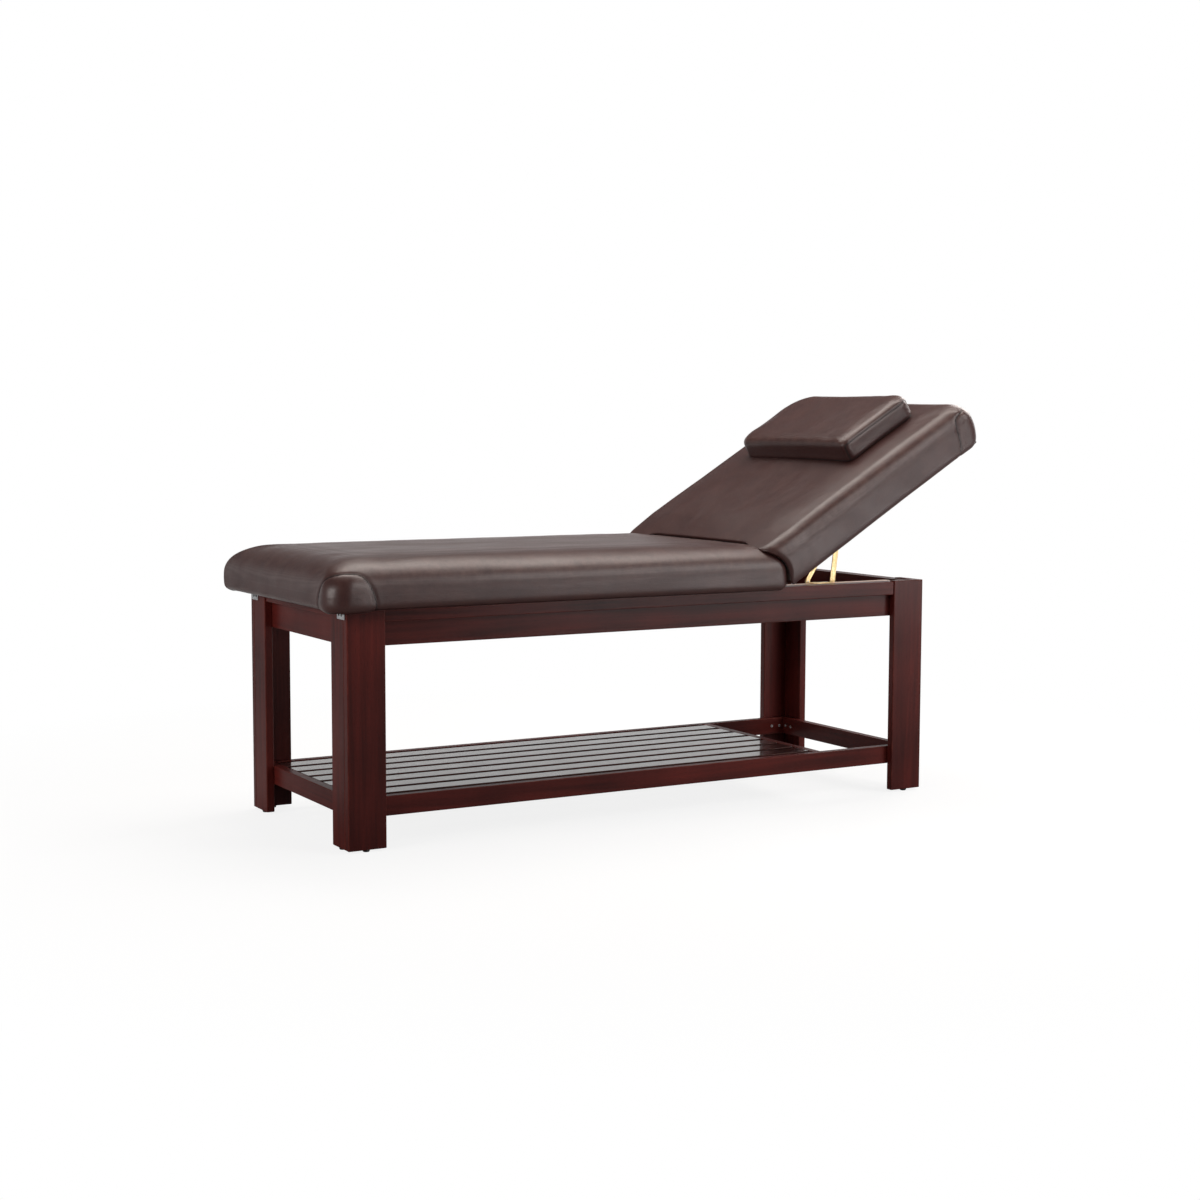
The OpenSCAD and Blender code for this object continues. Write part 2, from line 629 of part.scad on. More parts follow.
module arm_pin(far) color(steel) place() at_arm(far) {
    along_y(arm_reach, arm_y - 1, 0, arm_t + side_gap + track_t + 2, arm_pin_d);
    along_y(arm_reach, arm_y - 1, 0, 1, arm_pin_d + 3);
}
module stay_pin(far) color(steel) place() at_stay(far) {
    along_y(stay_reach, stay_y - 1, 0, stay_t + side_gap + track_t + 2.5, stay_pin_d);
    along_y(stay_reach, stay_y - 1, 0, 1, stay_pin_d + 2.5);
}

// Frame brackets of the arms, on the inner faces of the cleats
arm_plate_w = 30;
arm_plate_top = rail_top - 5;
plate_screw_l = 20;
plate_screw_z = rail_top - cleat_h * 0.37;
plate_screw_x = 8;
module arm_plate_screws() for (x = [-plate_screw_x, plate_screw_x])
    translate([arm_pivot_x + x, cleat_y + plate_t, plate_screw_z]) rotate([90, 0, 0]) children();
module arm_brackets() color(zinc) place() both_sides() difference() {
    union() {
        translate([arm_pivot_x - arm_plate_w / 2, cleat_y, arm_pivot_z])
            cube([arm_plate_w, plate_t, arm_plate_top - arm_pivot_z]);
        along_y(arm_pivot_x, cleat_y, arm_pivot_z, plate_t, arm_plate_w);
    }
    cleat_holes();
    along_y(arm_pivot_x, cleat_y - 1, arm_pivot_z, plate_t + 2, arm_pin_d + bore_room);
}

// Frame brackets of the stays: a foot on the cleat and a lug beside it
lug_r = stay_eye_r;
foot_t = 2;
foot_l = 50;
foot_edge = 4;
module stay_foot_screws() for (x = [0.45, 0.8])
    translate([stay_pivot_x + foot_l * x, inner_y0 + cleat_w / 2, rail_top + foot_t])
        rotate([180, 0, 0]) children();
module stay_brackets() color(zinc) place() both_sides() difference() {
    translate([stay_pivot_x - lug_r, 0, 0]) {
        translate([0, inner_y0 + foot_edge, rail_top]) cube([foot_l + lug_r, cleat_w - foot_edge, foot_t]);
        translate([0, cleat_y - 1, rail_top])
            cube([2 * lug_r, stay_lug_y + stay_lug_t - cleat_y + 1, foot_t]);
        translate([0, stay_lug_y, rail_top - foot_edge])
            cube([2 * lug_r, stay_lug_t, stay_pivot_z - rail_top + foot_edge]);
        along_y(lug_r, stay_lug_y, stay_pivot_z, stay_lug_t, 2 * lug_r);
    }
    cleat_holes();
    along_y(stay_pivot_x, stay_lug_y - 1, stay_pivot_z, stay_lug_t + 2, stay_pin_d + bore_room);
}

// Pivot pins of the arms and stays in their frame brackets
module arm_pivots() color(steel) place() both_sides() {
    along_y(arm_pivot_x, cleat_y + 0.5, arm_pivot_z, plate_t + side_gap + arm_t + 1, arm_pin_d);
    along_y(arm_pivot_x, arm_y + arm_t + side_gap, arm_pivot_z, 2, arm_pin_d + 4);
    along_y(stay_pivot_x, stay_lug_y - 1, stay_pivot_z, stay_lug_t + side_gap + stay_t + 2, stay_pin_d);
    along_y(stay_pivot_x, stay_y + stay_t + side_gap, stay_pivot_z, 1, stay_pin_d + 2.5);
}

// Screws that hold the cleats to the long rails, and the holes of all cleat screws
cleat_screw_l = cleat_w + 12;
cleat_end = 30;
cleat_x1 = inner_x1 - cleat_gap;
cleat_screw_z = rail_top - cleat_h * 0.77;
module cleat_screws_at() for (x = [pivot_x + cleat_end, (pivot_x + cleat_x1) / 2, cleat_x1 - cleat_end])
    translate([x, cleat_y, cleat_screw_z]) rotate([90, 0, 0]) children();
module cleat_holes() {
    arm_plate_screws() screw_bore(plate_screw_l);
    stay_foot_screws() screw_bore(plate_screw_l);
    cleat_screws_at() screw_bore(cleat_screw_l);
}
module fitting_screws() color(steel) place() {
    both_sides() bracket_screws_at() screw(bracket_screw_l);
    at_hinges() hinge_screws_at() screw(hinge_screw_l);
    both_sides() arm_plate_screws() screw(plate_screw_l);
    both_sides() stay_foot_screws() screw(plate_screw_l);
    both_sides() cleat_screws_at() screw(cleat_screw_l);
}

// Pillow, resting on the crown of the backrest cushion: a cover that is open
// below, its zipped base panel and the foam between them
pillow_y0 = (frame_w - pillow_w) / 2 + pillow_shift;
pillow_box = [pillow_u, pillow_u + pillow_l, pillow_y0, pillow_y0 + pillow_w];
pillow_core_in = 44;
pillow_base_t = 3;
pillow_core_top = pillow_w0 + pillow_t - 12;
pillow_reach = 60;
pillow_rings = concat(
    [for (w = [pillow_core_top + fit, pillow_w0]) [w, pillow_core_in - fit, 0, 0, 1]],
    shell_rings(pillow_box, pillow_corner_r, pillow_w0, pillow_w0 + pillow_t, pillow_w0 + pillow_t / 2,
        pillow_edge_r, pillow_edge_rz, pillow_crown, pillow_reach, side_draw));
module pillow_cover() color(leather) place() tilted() form(pillow_box, pillow_rings, pillow_w0);
module pillow_base() color(leather) place() tilted()
    slab(pillow_box, pillow_core_in + fit, 0, pillow_w0, pillow_w0 + pillow_base_t);
module pillow_foam() color(foam) place() tilted()
    slab(pillow_box, pillow_core_in + fit, 0, pillow_w0 + pillow_base_t, pillow_core_top);

leg_side(false, false);  // leg_foot_near_side
leg_end(false, false);  // leg_foot_near_end
leg_side(false, true);  // leg_foot_far_side
leg_end(false, true);  // leg_foot_far_end
leg_side(true, false);  // leg_head_near_side
leg_end(true, false);  // leg_head_near_end
leg_side(true, true);  // leg_head_far_side
leg_end(true, true);  // leg_head_far_end
glides();
side_rail(rail_z, rail_h, false);  // upper_rail_near
side_rail(rail_z, rail_h, true);  // upper_rail_far
end_rail(rail_z, rail_h, false);  // upper_rail_foot
end_rail(rail_z, rail_h, true);  // upper_rail_head
side_band(false);  // band_near
side_band(true);  // band_far
end_band(false);  // band_foot
end_band(true);  // band_head
cleat(false);  // cleat_near
cleat(true);  // cleat_far
hinge_beam();
cross_beams();
side_rail(shelf_rail_z, shelf_rail_h, false);  // shelf_rail_near
side_rail(shelf_rail_z, shelf_rail_h, true);  // shelf_rail_far
end_rail(shelf_rail_z, shelf_rail_h, false);  // shelf_rail_foot
end_rail(shelf_rail_z, shelf_rail_h, true);  // shelf_rail_head
shelf_cross_rail();
shelf_bearers();
slats(0, slat_mid - 1);  // shelf_slats_near
slats(slat_mid, slat_count - 1);  // shelf_slats_far
dowels();
frame_screws();
fitting_screws();
foot_board();
foot_foam();
foot_cushion();
foot_brackets();
hinge_brackets();
hinge_straps();
hinge_pins();
back_board();
back_foam();
back_cushion();
rest_blocks();
arm_tracks();
stay_tracks();
back_screws();
arm_brackets();
arm_pivots();
arm(false);  // arm_near
arm(true);  // arm_far
arm_pin(false);  // arm_pin_near
arm_pin(true);  // arm_pin_far
stay_brackets();
stay(false);  // stay_near
stay(true);  // stay_far
stay_pin(false);  // stay_pin_near
stay_pin(true);  // stay_pin_far
pillow_cover();
pillow_base();
pillow_foam();
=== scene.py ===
# %% [markdown]
# # A facial bed in dark wood and brown leathercloth
# The measured model of the bed is loaded first. It is the frame for everything here: each visible
# piece is placed by the nodes of that model, in metres, so nothing has to be fitted by eye. A piece
# either takes a node's place or leaves it showing with a better finish.

# %% Load the measured bed
import json
import math

import bmesh
import bpy
import numpy as np
from mathutils import Matrix, Vector, noise
from mathutils.bvhtree import BVHTree
from mathutils.kdtree import KDTree

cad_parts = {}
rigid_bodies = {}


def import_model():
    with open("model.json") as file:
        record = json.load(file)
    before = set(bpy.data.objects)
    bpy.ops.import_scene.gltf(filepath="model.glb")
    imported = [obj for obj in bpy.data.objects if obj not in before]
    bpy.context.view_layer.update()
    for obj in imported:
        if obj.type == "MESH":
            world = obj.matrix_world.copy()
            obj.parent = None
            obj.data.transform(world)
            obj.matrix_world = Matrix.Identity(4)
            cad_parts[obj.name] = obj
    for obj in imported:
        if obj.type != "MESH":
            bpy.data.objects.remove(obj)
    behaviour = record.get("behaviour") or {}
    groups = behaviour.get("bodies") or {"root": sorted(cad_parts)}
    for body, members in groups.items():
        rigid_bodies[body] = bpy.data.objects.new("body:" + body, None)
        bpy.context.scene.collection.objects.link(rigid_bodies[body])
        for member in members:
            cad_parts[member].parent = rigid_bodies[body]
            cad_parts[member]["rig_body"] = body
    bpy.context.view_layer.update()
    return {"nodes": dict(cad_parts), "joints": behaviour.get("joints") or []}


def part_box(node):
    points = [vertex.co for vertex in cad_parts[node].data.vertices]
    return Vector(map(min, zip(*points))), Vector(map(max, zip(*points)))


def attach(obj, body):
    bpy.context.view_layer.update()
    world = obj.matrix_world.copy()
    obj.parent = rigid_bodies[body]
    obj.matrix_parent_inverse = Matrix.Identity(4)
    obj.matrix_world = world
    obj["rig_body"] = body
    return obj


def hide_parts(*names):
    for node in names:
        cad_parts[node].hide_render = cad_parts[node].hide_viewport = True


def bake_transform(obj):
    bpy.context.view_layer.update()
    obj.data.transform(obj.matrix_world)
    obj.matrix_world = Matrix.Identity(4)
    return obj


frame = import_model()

scene = bpy.context.scene
nodes = frame["nodes"]
MM = 0.001


# %% [markdown]
# ## The camera
# The picture was taken from beside the foot end, a little above the cushions, with a longish lens.
# The place, turn and lens below come from the straight edges of the frame and the shelf, so the
# model falls on the picture without moving any piece.

# %% Set up the camera
CAMERA_AT = Vector((-2.55760, -4.37083, 0.97433))
CAMERA_TURN = 0.522666
CAMERA_DIP = 0.091573
CAMERA_ROLL = 0.002621
CAMERA_LENS = 59.64


def put(name, data):
    """A new object with that data, in the scene."""
    made = bpy.data.objects.new(name, data)
    scene.collection.objects.link(made)
    return made


def place_camera():
    """A camera aimed by its turn about the upright, its dip and its roll."""
    ahead = Vector((math.sin(CAMERA_TURN) * math.cos(CAMERA_DIP),
                    math.cos(CAMERA_TURN) * math.cos(CAMERA_DIP), -math.sin(CAMERA_DIP)))
    right = Vector((math.cos(CAMERA_TURN), -math.sin(CAMERA_TURN), 0))
    up = right.cross(ahead)
    rolled_right = right * math.cos(CAMERA_ROLL) + up * math.sin(CAMERA_ROLL)
    rolled_up = up * math.cos(CAMERA_ROLL) - right * math.sin(CAMERA_ROLL)
    lens = bpy.data.cameras.new("photo_camera")
    lens.lens = CAMERA_LENS
    lens.sensor_width = 36
    lens.clip_end = 200
    camera = put("photo_camera", lens)
    turn = Matrix((rolled_right, rolled_up, -ahead)).transposed().to_4x4()
    camera.matrix_world = Matrix.Translation(CAMERA_AT) @ turn
    scene.camera = camera
    return camera


camera = place_camera()
print("camera at", [round(c, 3) for c in camera.matrix_world.translation])


# %% [markdown]
# ## Small tools for node trees
# Shader trees and geometry trees are built the same way: add a node, give each input a value or
# another node's socket. A few helpers keep the later cells short, so that a formula reads nearly as
# it would on paper.

# %% Node helpers
def srgb(red, green, blue, alpha=1.0):
    """A colour as read from a screen, 0 to 255, as the linear values that Blender wants."""
    def linear(c):
        c /= 255
        return c / 12.92 if c <= 0.04045 else ((c + 0.055) / 1.055) ** 2.4
    return (linear(red), linear(green), linear(blue), alpha)


def add(tree, kind, inputs=None, **settings):
    """A node of that kind. Inputs go by name or number, and take a value or a socket."""
    made = tree.nodes.new(kind)
    for name, value in settings.items():
        setattr(made, name, value)
    for name, value in (inputs or {}).items():
        if isinstance(value, bpy.types.NodeSocket):
            tree.links.new(value, made.inputs[name])
        else:
            made.inputs[name].default_value = value
    return made


def maths(tree, operation, a, b=0.0, c=0.0):
    """One Math node, and its answer."""
    return add(tree, "ShaderNodeMath", {0: a, 1: b, 2: c}, operation=operation).outputs[0]


def plus(tree, a, b):
    return maths(tree, "ADD", a, b)


def times(tree, a, b):
    return maths(tree, "MULTIPLY", a, b)


print("grey 128 on a screen is", round(srgb(128, 128, 128)[0], 3), "in a shader")


# %% Helpers for patterns and groups
def blend_colour(tree, share, a, b):
    """Mixes two colours by a share."""
    return add(tree, "ShaderNodeMix", {0: share, 6: a, 7: b}, data_type="RGBA").outputs[2]


def spread(tree, value, low, high, to_low=0.0, to_high=1.0):
    """Stretches low..high of a value to another range, and clamps it."""
    return add(tree, "ShaderNodeMapRange",
               {0: value, 1: low, 2: high, 3: to_low, 4: to_high}).outputs[0]


def stretched(tree, place, factors):
    """A place stretched along each axis, so that a pattern runs long one way."""
    return add(tree, "ShaderNodeVectorMath", {0: place, 1: factors},
               operation="MULTIPLY").outputs[0]


def noise_at(tree, place, scale, **inputs):
    """The value of a Noise texture at a place. Its other inputs go by their names."""
    return add(tree, "ShaderNodeTexNoise", {"Vector": place, "Scale": scale, **inputs}).outputs[0]


def give(tree, node, values):
    """Links each value to the input of that name."""
    for name, value in values.items():
        tree.links.new(value, node.inputs[name])


def group(kind, name, inputs, outputs):
    """An empty node group with named sockets, what it is given, and its end."""
    tree = bpy.data.node_groups.new(name, kind)
    for label, socket, value in inputs:
        made = tree.interface.new_socket(label, in_out="INPUT", socket_type=socket)
        if value is not None:
            made.default_value = value
    for label, socket in outputs:
        tree.interface.new_socket(label, in_out="OUTPUT", socket_type=socket)
    return tree, tree.nodes.new("NodeGroupInput").outputs, tree.nodes.new("NodeGroupOutput")


NUMBER, PLACE, PAINT = "NodeSocketFloat", "NodeSocketVector", "NodeSocketColor"
print("kinds of input:", NUMBER, PLACE, PAINT)


# %% [markdown]
# ## Effects that several finishes share
# Wood grain, leather grain, worn edges and handling marks are each a group of nodes with named
# inputs; the worn edges also paint a highlight along the edges. A group gives out only colours and
# values that change over the surface; the shader itself stays in each material. Grain reads its
# place from an attribute that every board carries (along, across and through the board), so each
# board has a cut of its own, and runs the right way.

# %% Shared effect: wood grain
PORE_TONE = (0.008, 0.003, 0.003, 1)


def make_grain_group():
    """Long streaks, rings and open pores, from a place in the board."""
    tree, given, end = group("ShaderNodeTree", "wood_grain", [
        ("Place", PLACE, None), ("Light", PAINT, (0.2, 0.06, 0.04, 1)),
        ("Dark", PAINT, (0.05, 0.01, 0.01, 1)), ("Figure", NUMBER, 0.5), ("Pores", NUMBER, 0.5)],
        [("Color", PAINT), ("Height", NUMBER)])
    place = given["Place"]
    streaks = noise_at(tree, stretched(tree, place, (2.2, 70.0, 70.0)), 1.0,
                       Detail=5.0, Roughness=0.62, Distortion=0.35)
    rings = noise_at(tree, stretched(tree, place, (0.9, 16.0, 16.0)), 1.0,
                     Detail=2.0, Distortion=0.8)
    pores = noise_at(tree, stretched(tree, place, (60.0, 1500.0, 1500.0)), 1.0, Detail=1.0)
    cloud = noise_at(tree, place, 4.5, Detail=1.0)
    banded = maths(tree, "PINGPONG", times(tree, rings, 9.0), 1.0)
    figure = times(tree, times(tree, banded, given["Figure"]), 0.3)
    shade = plus(tree, times(tree, streaks, 0.4), plus(tree, times(tree, cloud, 0.6), figure))
    tone = blend_colour(tree, spread(tree, shade, 0.32, 0.82), given["Dark"], given["Light"])
    pored = times(tree, spread(tree, pores, 0.58, 0.68), given["Pores"])
    give(tree, end, {"Color": blend_colour(tree, times(tree, pored, 0.55), tone, PORE_TONE),
                     "Height": maths(tree, "SUBTRACT", times(tree, streaks, 0.3), pored)})
    return tree


grain_group = make_grain_group()
print("wood grain group:", len(grain_group.nodes), "nodes")


# %% Shared effect: leather grain
def make_leather_group():
    """Fine even pebbles, soft mottling and shallow creases of an embossed leathercloth."""
    tree, given, end = group("ShaderNodeTree", "leather_grain", [
        ("Place", PLACE, None), ("Pebble", NUMBER, 0.0017), ("Mottle", NUMBER, 0.05),
        ("Regular", NUMBER, 0.6)],
        [("Height", NUMBER), ("Pits", NUMBER), ("Mottling", NUMBER), ("Streaks", NUMBER)])
    place = given["Place"]
    pebbles = add(tree, "ShaderNodeTexVoronoi", {
        "Vector": place, "Scale": maths(tree, "DIVIDE", 1.0, given["Pebble"]),
        "Randomness": given["Regular"]})
    pits = spread(tree, pebbles.outputs["Distance"], 0.28, 0.62)
    mottling = noise_at(tree, place, maths(tree, "DIVIDE", 1.0, given["Mottle"]),
                        Detail=3.0, Roughness=0.55)
    streaks = noise_at(tree, stretched(tree, place, (5.0, 14.0, 14.0)), 1.0,
                       Detail=2.0, Distortion=0.6)
    height = plus(tree, times(tree, pits, -1.0), times(tree, mottling, 0.5))
    give(tree, end, {"Height": height, "Pits": pits, "Mottling": mottling, "Streaks": streaks})
    return tree


leather_group = make_leather_group()
print("leather group:", len(leather_group.nodes), "nodes")


# %% Shared effect: worn edges with a painted highlight, and handling
def make_rub_and_highlight_group():
    """Where an edge is rubbed, with a painted highlight on it: the piece's own edge mask, broken up
    by a noise. Also smears.
    """
    tree, given, end = group("ShaderNodeTree", "rub_and_highlight", [
        ("Place", PLACE, None), ("Edge", NUMBER, 0.0), ("Patch", NUMBER, 0.03)],
        [("Rub and highlight", NUMBER), ("Smear", NUMBER)])
    patches = noise_at(tree, given["Place"], maths(tree, "DIVIDE", 1.0, given["Patch"]),
                       Detail=4.0, Roughness=0.65)
    give(tree, end, {"Rub and highlight": times(tree, given["Edge"], spread(tree, patches, 0.35, 0.7)),
                     "Smear": noise_at(tree, given["Place"], 9.0, Detail=3.0, Distortion=1.2)})
    return tree


rub_and_highlight_group = make_rub_and_highlight_group()
print("wear group:", len(rub_and_highlight_group.nodes), "nodes")


# %% [markdown]
# ## Finishes
# The frame is a reddish hardwood under a dark satin lacquer: a thin coat over a darker base, so the
# base keeps its grain and the coat gives the clean reflections. The slats of the shelf are darker
# and much glossier. The leathercloth has a fine even emboss and a half-gloss top. The fittings are
# zinc plated, yellow for the arms and hinges and bright for the small brackets.

# %% Material helpers
def blank_material(name):
    """A node material with nothing in it but its output."""
    material = bpy.data.materials.new(name)
    material.use_nodes = True
    tree = material.node_tree
    tree.nodes.clear()
    return material, tree, tree.nodes.new("ShaderNodeOutputMaterial")


def new_material(name):
    """A node material with a Principled shader."""
    material, tree, output = blank_material(name)
    shader = tree.nodes.new("ShaderNodeBsdfPrincipled")
    tree.links.new(shader.outputs[0], output.inputs[0])
    return material, tree, shader


def use(tree, node_group, inputs):
    """Places a shared group in a material, and gives its outputs."""
    return add(tree, "ShaderNodeGroup", inputs, node_tree=node_group).outputs


def bump(tree, shader, height, strength, distance):
    """Feeds a height to the shader's normal."""
    made = add(tree, "ShaderNodeBump",
               {"Height": height, "Strength": strength, "Distance": distance})
    tree.links.new(made.outputs[0], shader.inputs["Normal"])


def attribute(tree, name, output="Fac"):
    """A value that the piece's own mesh carries."""
    return add(tree, "ShaderNodeAttribute", attribute_name=name).outputs[output]


def object_place(tree):
    """The place on the piece, in metres."""
    return add(tree, "ShaderNodeTexCoord").outputs["Object"]


print("materials before the first finish:", len(bpy.data.materials))


# %% Lacquered wood, in its several tones
def wood_finish(name, light, dark, edge_rub_and_highlight_tone, figure, pores, rough, coat, coat_rough, plies=0.0):
    """Wood under lacquer. plies is the thickness of one ply where the board is plywood."""
    material, tree, shader = new_material(name)
    place = attribute(tree, "grain", "Vector")
    grain = use(tree, grain_group, {"Place": place, "Light": light, "Dark": dark,
                                    "Figure": figure, "Pores": pores})
    rub_and_highlight = use(tree, rub_and_highlight_group, {"Place": place, "Edge": attribute(tree, "edge"), "Patch": 0.04})
    # Wear and painted highlight: the eased edges take a lighter tone.
    colour = blend_colour(tree, times(tree, rub_and_highlight["Rub and highlight"], 0.55), grain["Color"], edge_rub_and_highlight_tone)
    if plies:
        depth = add(tree, "ShaderNodeSeparateXYZ", {0: place}).outputs[2]
        stripe = maths(tree, "PINGPONG", maths(tree, "DIVIDE", depth, plies), 1.0)
        colour = blend_colour(tree, spread(tree, stripe, 0.35, 0.65, 0.0, 0.45), colour, dark)
    smeared = plus(tree, times(tree, rub_and_highlight["Smear"], 0.16), rough - 0.08)
    give(tree, shader, {"Base Color": colour,
                        "Roughness": plus(tree, smeared, times(tree, rub_and_highlight["Rub and highlight"], 0.15))})
    for socket, value in (("Coat Weight", coat), ("Coat Roughness", coat_rough),
                          ("Specular IOR Level", 0.08)):
        shader.inputs[socket].default_value = value
    bump(tree, shader, grain["Height"], strength=0.25, distance=0.25 * MM)
    return material


# The third colour of each wood is the rub on its edges, which also paints a highlight there.
MAHOGANY = wood_finish("mahogany_lacquer", srgb(94, 33, 28), srgb(48, 16, 15), srgb(112, 54, 44),
                       figure=0.5, pores=0.6, rough=0.46, coat=0.14, coat_rough=0.20)
SHELF_WOOD = wood_finish("shelf_lacquer", srgb(60, 30, 27), srgb(34, 17, 16), srgb(90, 52, 45),
                         figure=0.4, pores=0.4, rough=0.30, coat=0.75, coat_rough=0.06)
PALE_WOOD = wood_finish("pale_edge", srgb(226, 196, 176), srgb(196, 160, 138), srgb(235, 212, 196),
                        figure=0.4, pores=0.3, rough=0.45, coat=0.3, coat_rough=0.25)
PLYWOOD = wood_finish("plywood", srgb(205, 172, 128), srgb(168, 130, 90), srgb(214, 184, 145),
                      figure=0.8, pores=0.3, rough=0.62, coat=0.0, coat_rough=0.3, plies=1.5 * MM)
BEECH = wood_finish("beech_dowel", srgb(214, 176, 130), srgb(184, 142, 98), srgb(222, 190, 150),
                    figure=0.3, pores=0.6, rough=0.6, coat=0.0, coat_rough=0.3)
print("woods:", [m.name for m in (MAHOGANY, SHELF_WOOD, PALE_WOOD, PLYWOOD, BEECH)])


# %% Leathercloth
def leather_finish(name, light, dark, seam_and_pit_shade, ridge_rub_and_highlight):
    """Brown leathercloth: pebbles in the bump, mottling in colour and gloss, painted shade in the
    pits and along the seams, and a rubbed tone with a painted highlight along the soft edges.
    """
    material, tree, shader = new_material(name)
    place = object_place(tree)
    leather = use(tree, leather_group, {"Place": place, "Pebble": 2.1 * MM, "Mottle": 45 * MM,
                                        "Regular": 0.35})
    rub_and_highlight = use(tree, rub_and_highlight_group, {"Place": place, "Edge": attribute(tree, "ridge"), "Patch": 0.02})
    tone = blend_colour(tree, spread(tree, leather["Mottling"], 0.3, 0.7), dark, light)
    # Painted shade: the pits of the grain take the dark seam_and_pit_shade colour, as if shade fell
    # in them.
    tone = blend_colour(tree, times(tree, leather["Pits"], 0.35), tone, seam_and_pit_shade)
    # The soft edges take a lighter rubbed tone, which also paints a highlight along them.
    tone = blend_colour(tree, times(tree, rub_and_highlight["Rub and highlight"], 0.25), tone, ridge_rub_and_highlight)
    # Painted shade along the seams, where the grooves lie in shade.
    tone = blend_colour(tree, times(tree, attribute(tree, "seam"), 0.8), tone, seam_and_pit_shade)
    rough = plus(tree, spread(tree, leather["Streaks"], 0.3, 0.7, 0.30, 0.37),
                 times(tree, leather["Pits"], 0.1))
    give(tree, shader, {"Base Color": tone, "Roughness": rough})
    bump(tree, shader, leather["Height"], strength=0.22, distance=0.35 * MM)
    return material


# The third colour is painted shade for the pits and seams; the fourth is the rub along the soft
# edges, which also paints a highlight there.
LEATHER = leather_finish("brown_upholstery", srgb(70, 39, 35), srgb(61, 33, 31), srgb(20, 11, 11),
                         srgb(112, 84, 76))


print("leathercloth:", LEATHER.name)


# %% Thread
def thread_finish(name, tone):
    """Twisted polyester thread: fine slanting strands."""
    material, tree, shader = new_material(name)
    strands = add(tree, "ShaderNodeTexWave", {"Vector": object_place(tree), "Scale": 900.0,
                                              "Distortion": 2.0}).outputs["Fac"]
    give(tree, shader, {"Base Color": blend_colour(tree, strands, tone, srgb(24, 13, 12))})
    shader.inputs["Roughness"].default_value = 0.6
    bump(tree, shader, strands, strength=0.4, distance=0.2 * MM)
    return material


THREAD = thread_finish("sewing_thread", srgb(66, 42, 38))
# The cord in the seams is much darker than the leathercloth: a line of painted shade in the
# grooves.
SEAM_SHADE_CORD = thread_finish("seam_shade_fold", srgb(30, 17, 16))
print("threads:", THREAD.name, "and", SEAM_SHADE_CORD.name)


# %% Plated steel
def metal_finish(name, tone, shadow, rough, brushed):
    """Zinc plate: a soft spangle, faint rolling lines, and a paler rub on the edges."""
    material, tree, shader = new_material(name)
    place = object_place(tree)
    spangle = add(tree, "ShaderNodeTexVoronoi", {"Vector": place, "Scale": 260.0})
    cloud = noise_at(tree, place, 45.0, Detail=4.0)
    rub_and_highlight = use(tree, rub_and_highlight_group, {"Place": place, "Edge": attribute(tree, "edge"), "Patch": 0.01})
    share = plus(tree, times(tree, spangle.outputs["Distance"], 0.5), times(tree, cloud, 0.6))
    colour = blend_colour(tree, spread(tree, share, 0.25, 0.75), tone, shadow)
    colour = blend_colour(tree, times(tree, rub_and_highlight["Rub and highlight"], 0.5), colour, srgb(226, 224, 218))
    give(tree, shader, {
        "Base Color": colour,
        "Roughness": spread(tree, cloud, 0.3, 0.7, rough - 0.06, rough + 0.1)})
    shader.inputs["Metallic"].default_value = 0.7
    rolled = noise_at(tree, stretched(tree, place, (60.0, 60.0, 2400.0)), 1.0, Detail=2.0)
    bump(tree, shader, rolled, strength=brushed, distance=0.1 * MM)
    return material


YELLOW_ZINC = metal_finish("yellow_zinc", srgb(250, 232, 184), srgb(226, 198, 140), 0.36, 0.15)
BRIGHT_ZINC = metal_finish("bright_zinc", srgb(214, 216, 218), srgb(172, 176, 180), 0.30, 0.15)
DARK_SCREW = metal_finish("dark_screw", srgb(70, 66, 64), srgb(40, 38, 38), 0.35, 0.1)


print("metals:", [m.name for m in (YELLOW_ZINC, BRIGHT_ZINC, DARK_SCREW)])


# %% Black nylon
def nylon_finish(name, light, dark, rough, grain_size, depth):
    """Moulded nylon: a fine skin texture in two close tones."""
    material, tree, shader = new_material(name)
    skin = noise_at(tree, object_place(tree), 1 / grain_size, Detail=4.0)
    give(tree, shader, {
        "Base Color": blend_colour(tree, skin, dark, light),
        "Roughness": spread(tree, skin, 0.2, 0.8, rough - 0.1, rough + 0.1)})
    bump(tree, shader, skin, strength=0.3, distance=depth)
    return material


BLACK_NYLON = nylon_finish("black_glide", srgb(52, 49, 48), srgb(24, 23, 23), 0.5, 2 * MM, 0.3 * MM)
print("nylon:", BLACK_NYLON.name)


# %% [markdown]
# ## Finding the solids of a node
# A node of the measured bed may hold several solids, such as both cross beams or all the screws of
# one kind. This helper splits a node's triangles into those solids, so that each can be rebuilt at
# its own place. The node itself is only read.

# %% Read the solids of a node
BACK_TILT = math.radians(31)
hinge = Vector(next(j for j in frame["joints"] if j["name"] == "backrest_tilt")["pos_m"])
TO_BACK = Matrix.Translation(hinge) @ Matrix.Rotation(-BACK_TILT, 4, "Y")
LEVEL = Matrix.Identity(4)


def solids(node, place=LEVEL):
    """The corners of each solid of a node, as one array per solid, in the directions of place."""
    shape = bmesh.new()
    shape.from_mesh(nodes[node].data)
    bmesh.ops.remove_doubles(shape, verts=shape.verts, dist=1e-6)
    back = place.inverted()
    seen, found = set(), []
    for first in shape.verts:
        if first in seen:
            continue
        seen.add(first)
        queue, part = [first], []
        while queue:
            vert = queue.pop()
            part.append(back @ vert.co)
            for edge in vert.link_edges:
                other = edge.other_vert(vert)
                if other not in seen:
                    seen.add(other)
                    queue.append(other)
        found.append(np.array(part))
    shape.free()
    return sorted(found, key=lambda p: tuple(np.round(p.mean(0), 3)))


print("shelf bearers:", len(solids("shelf_bearers")), "- hinge at", [round(c, 4) for c in hinge])


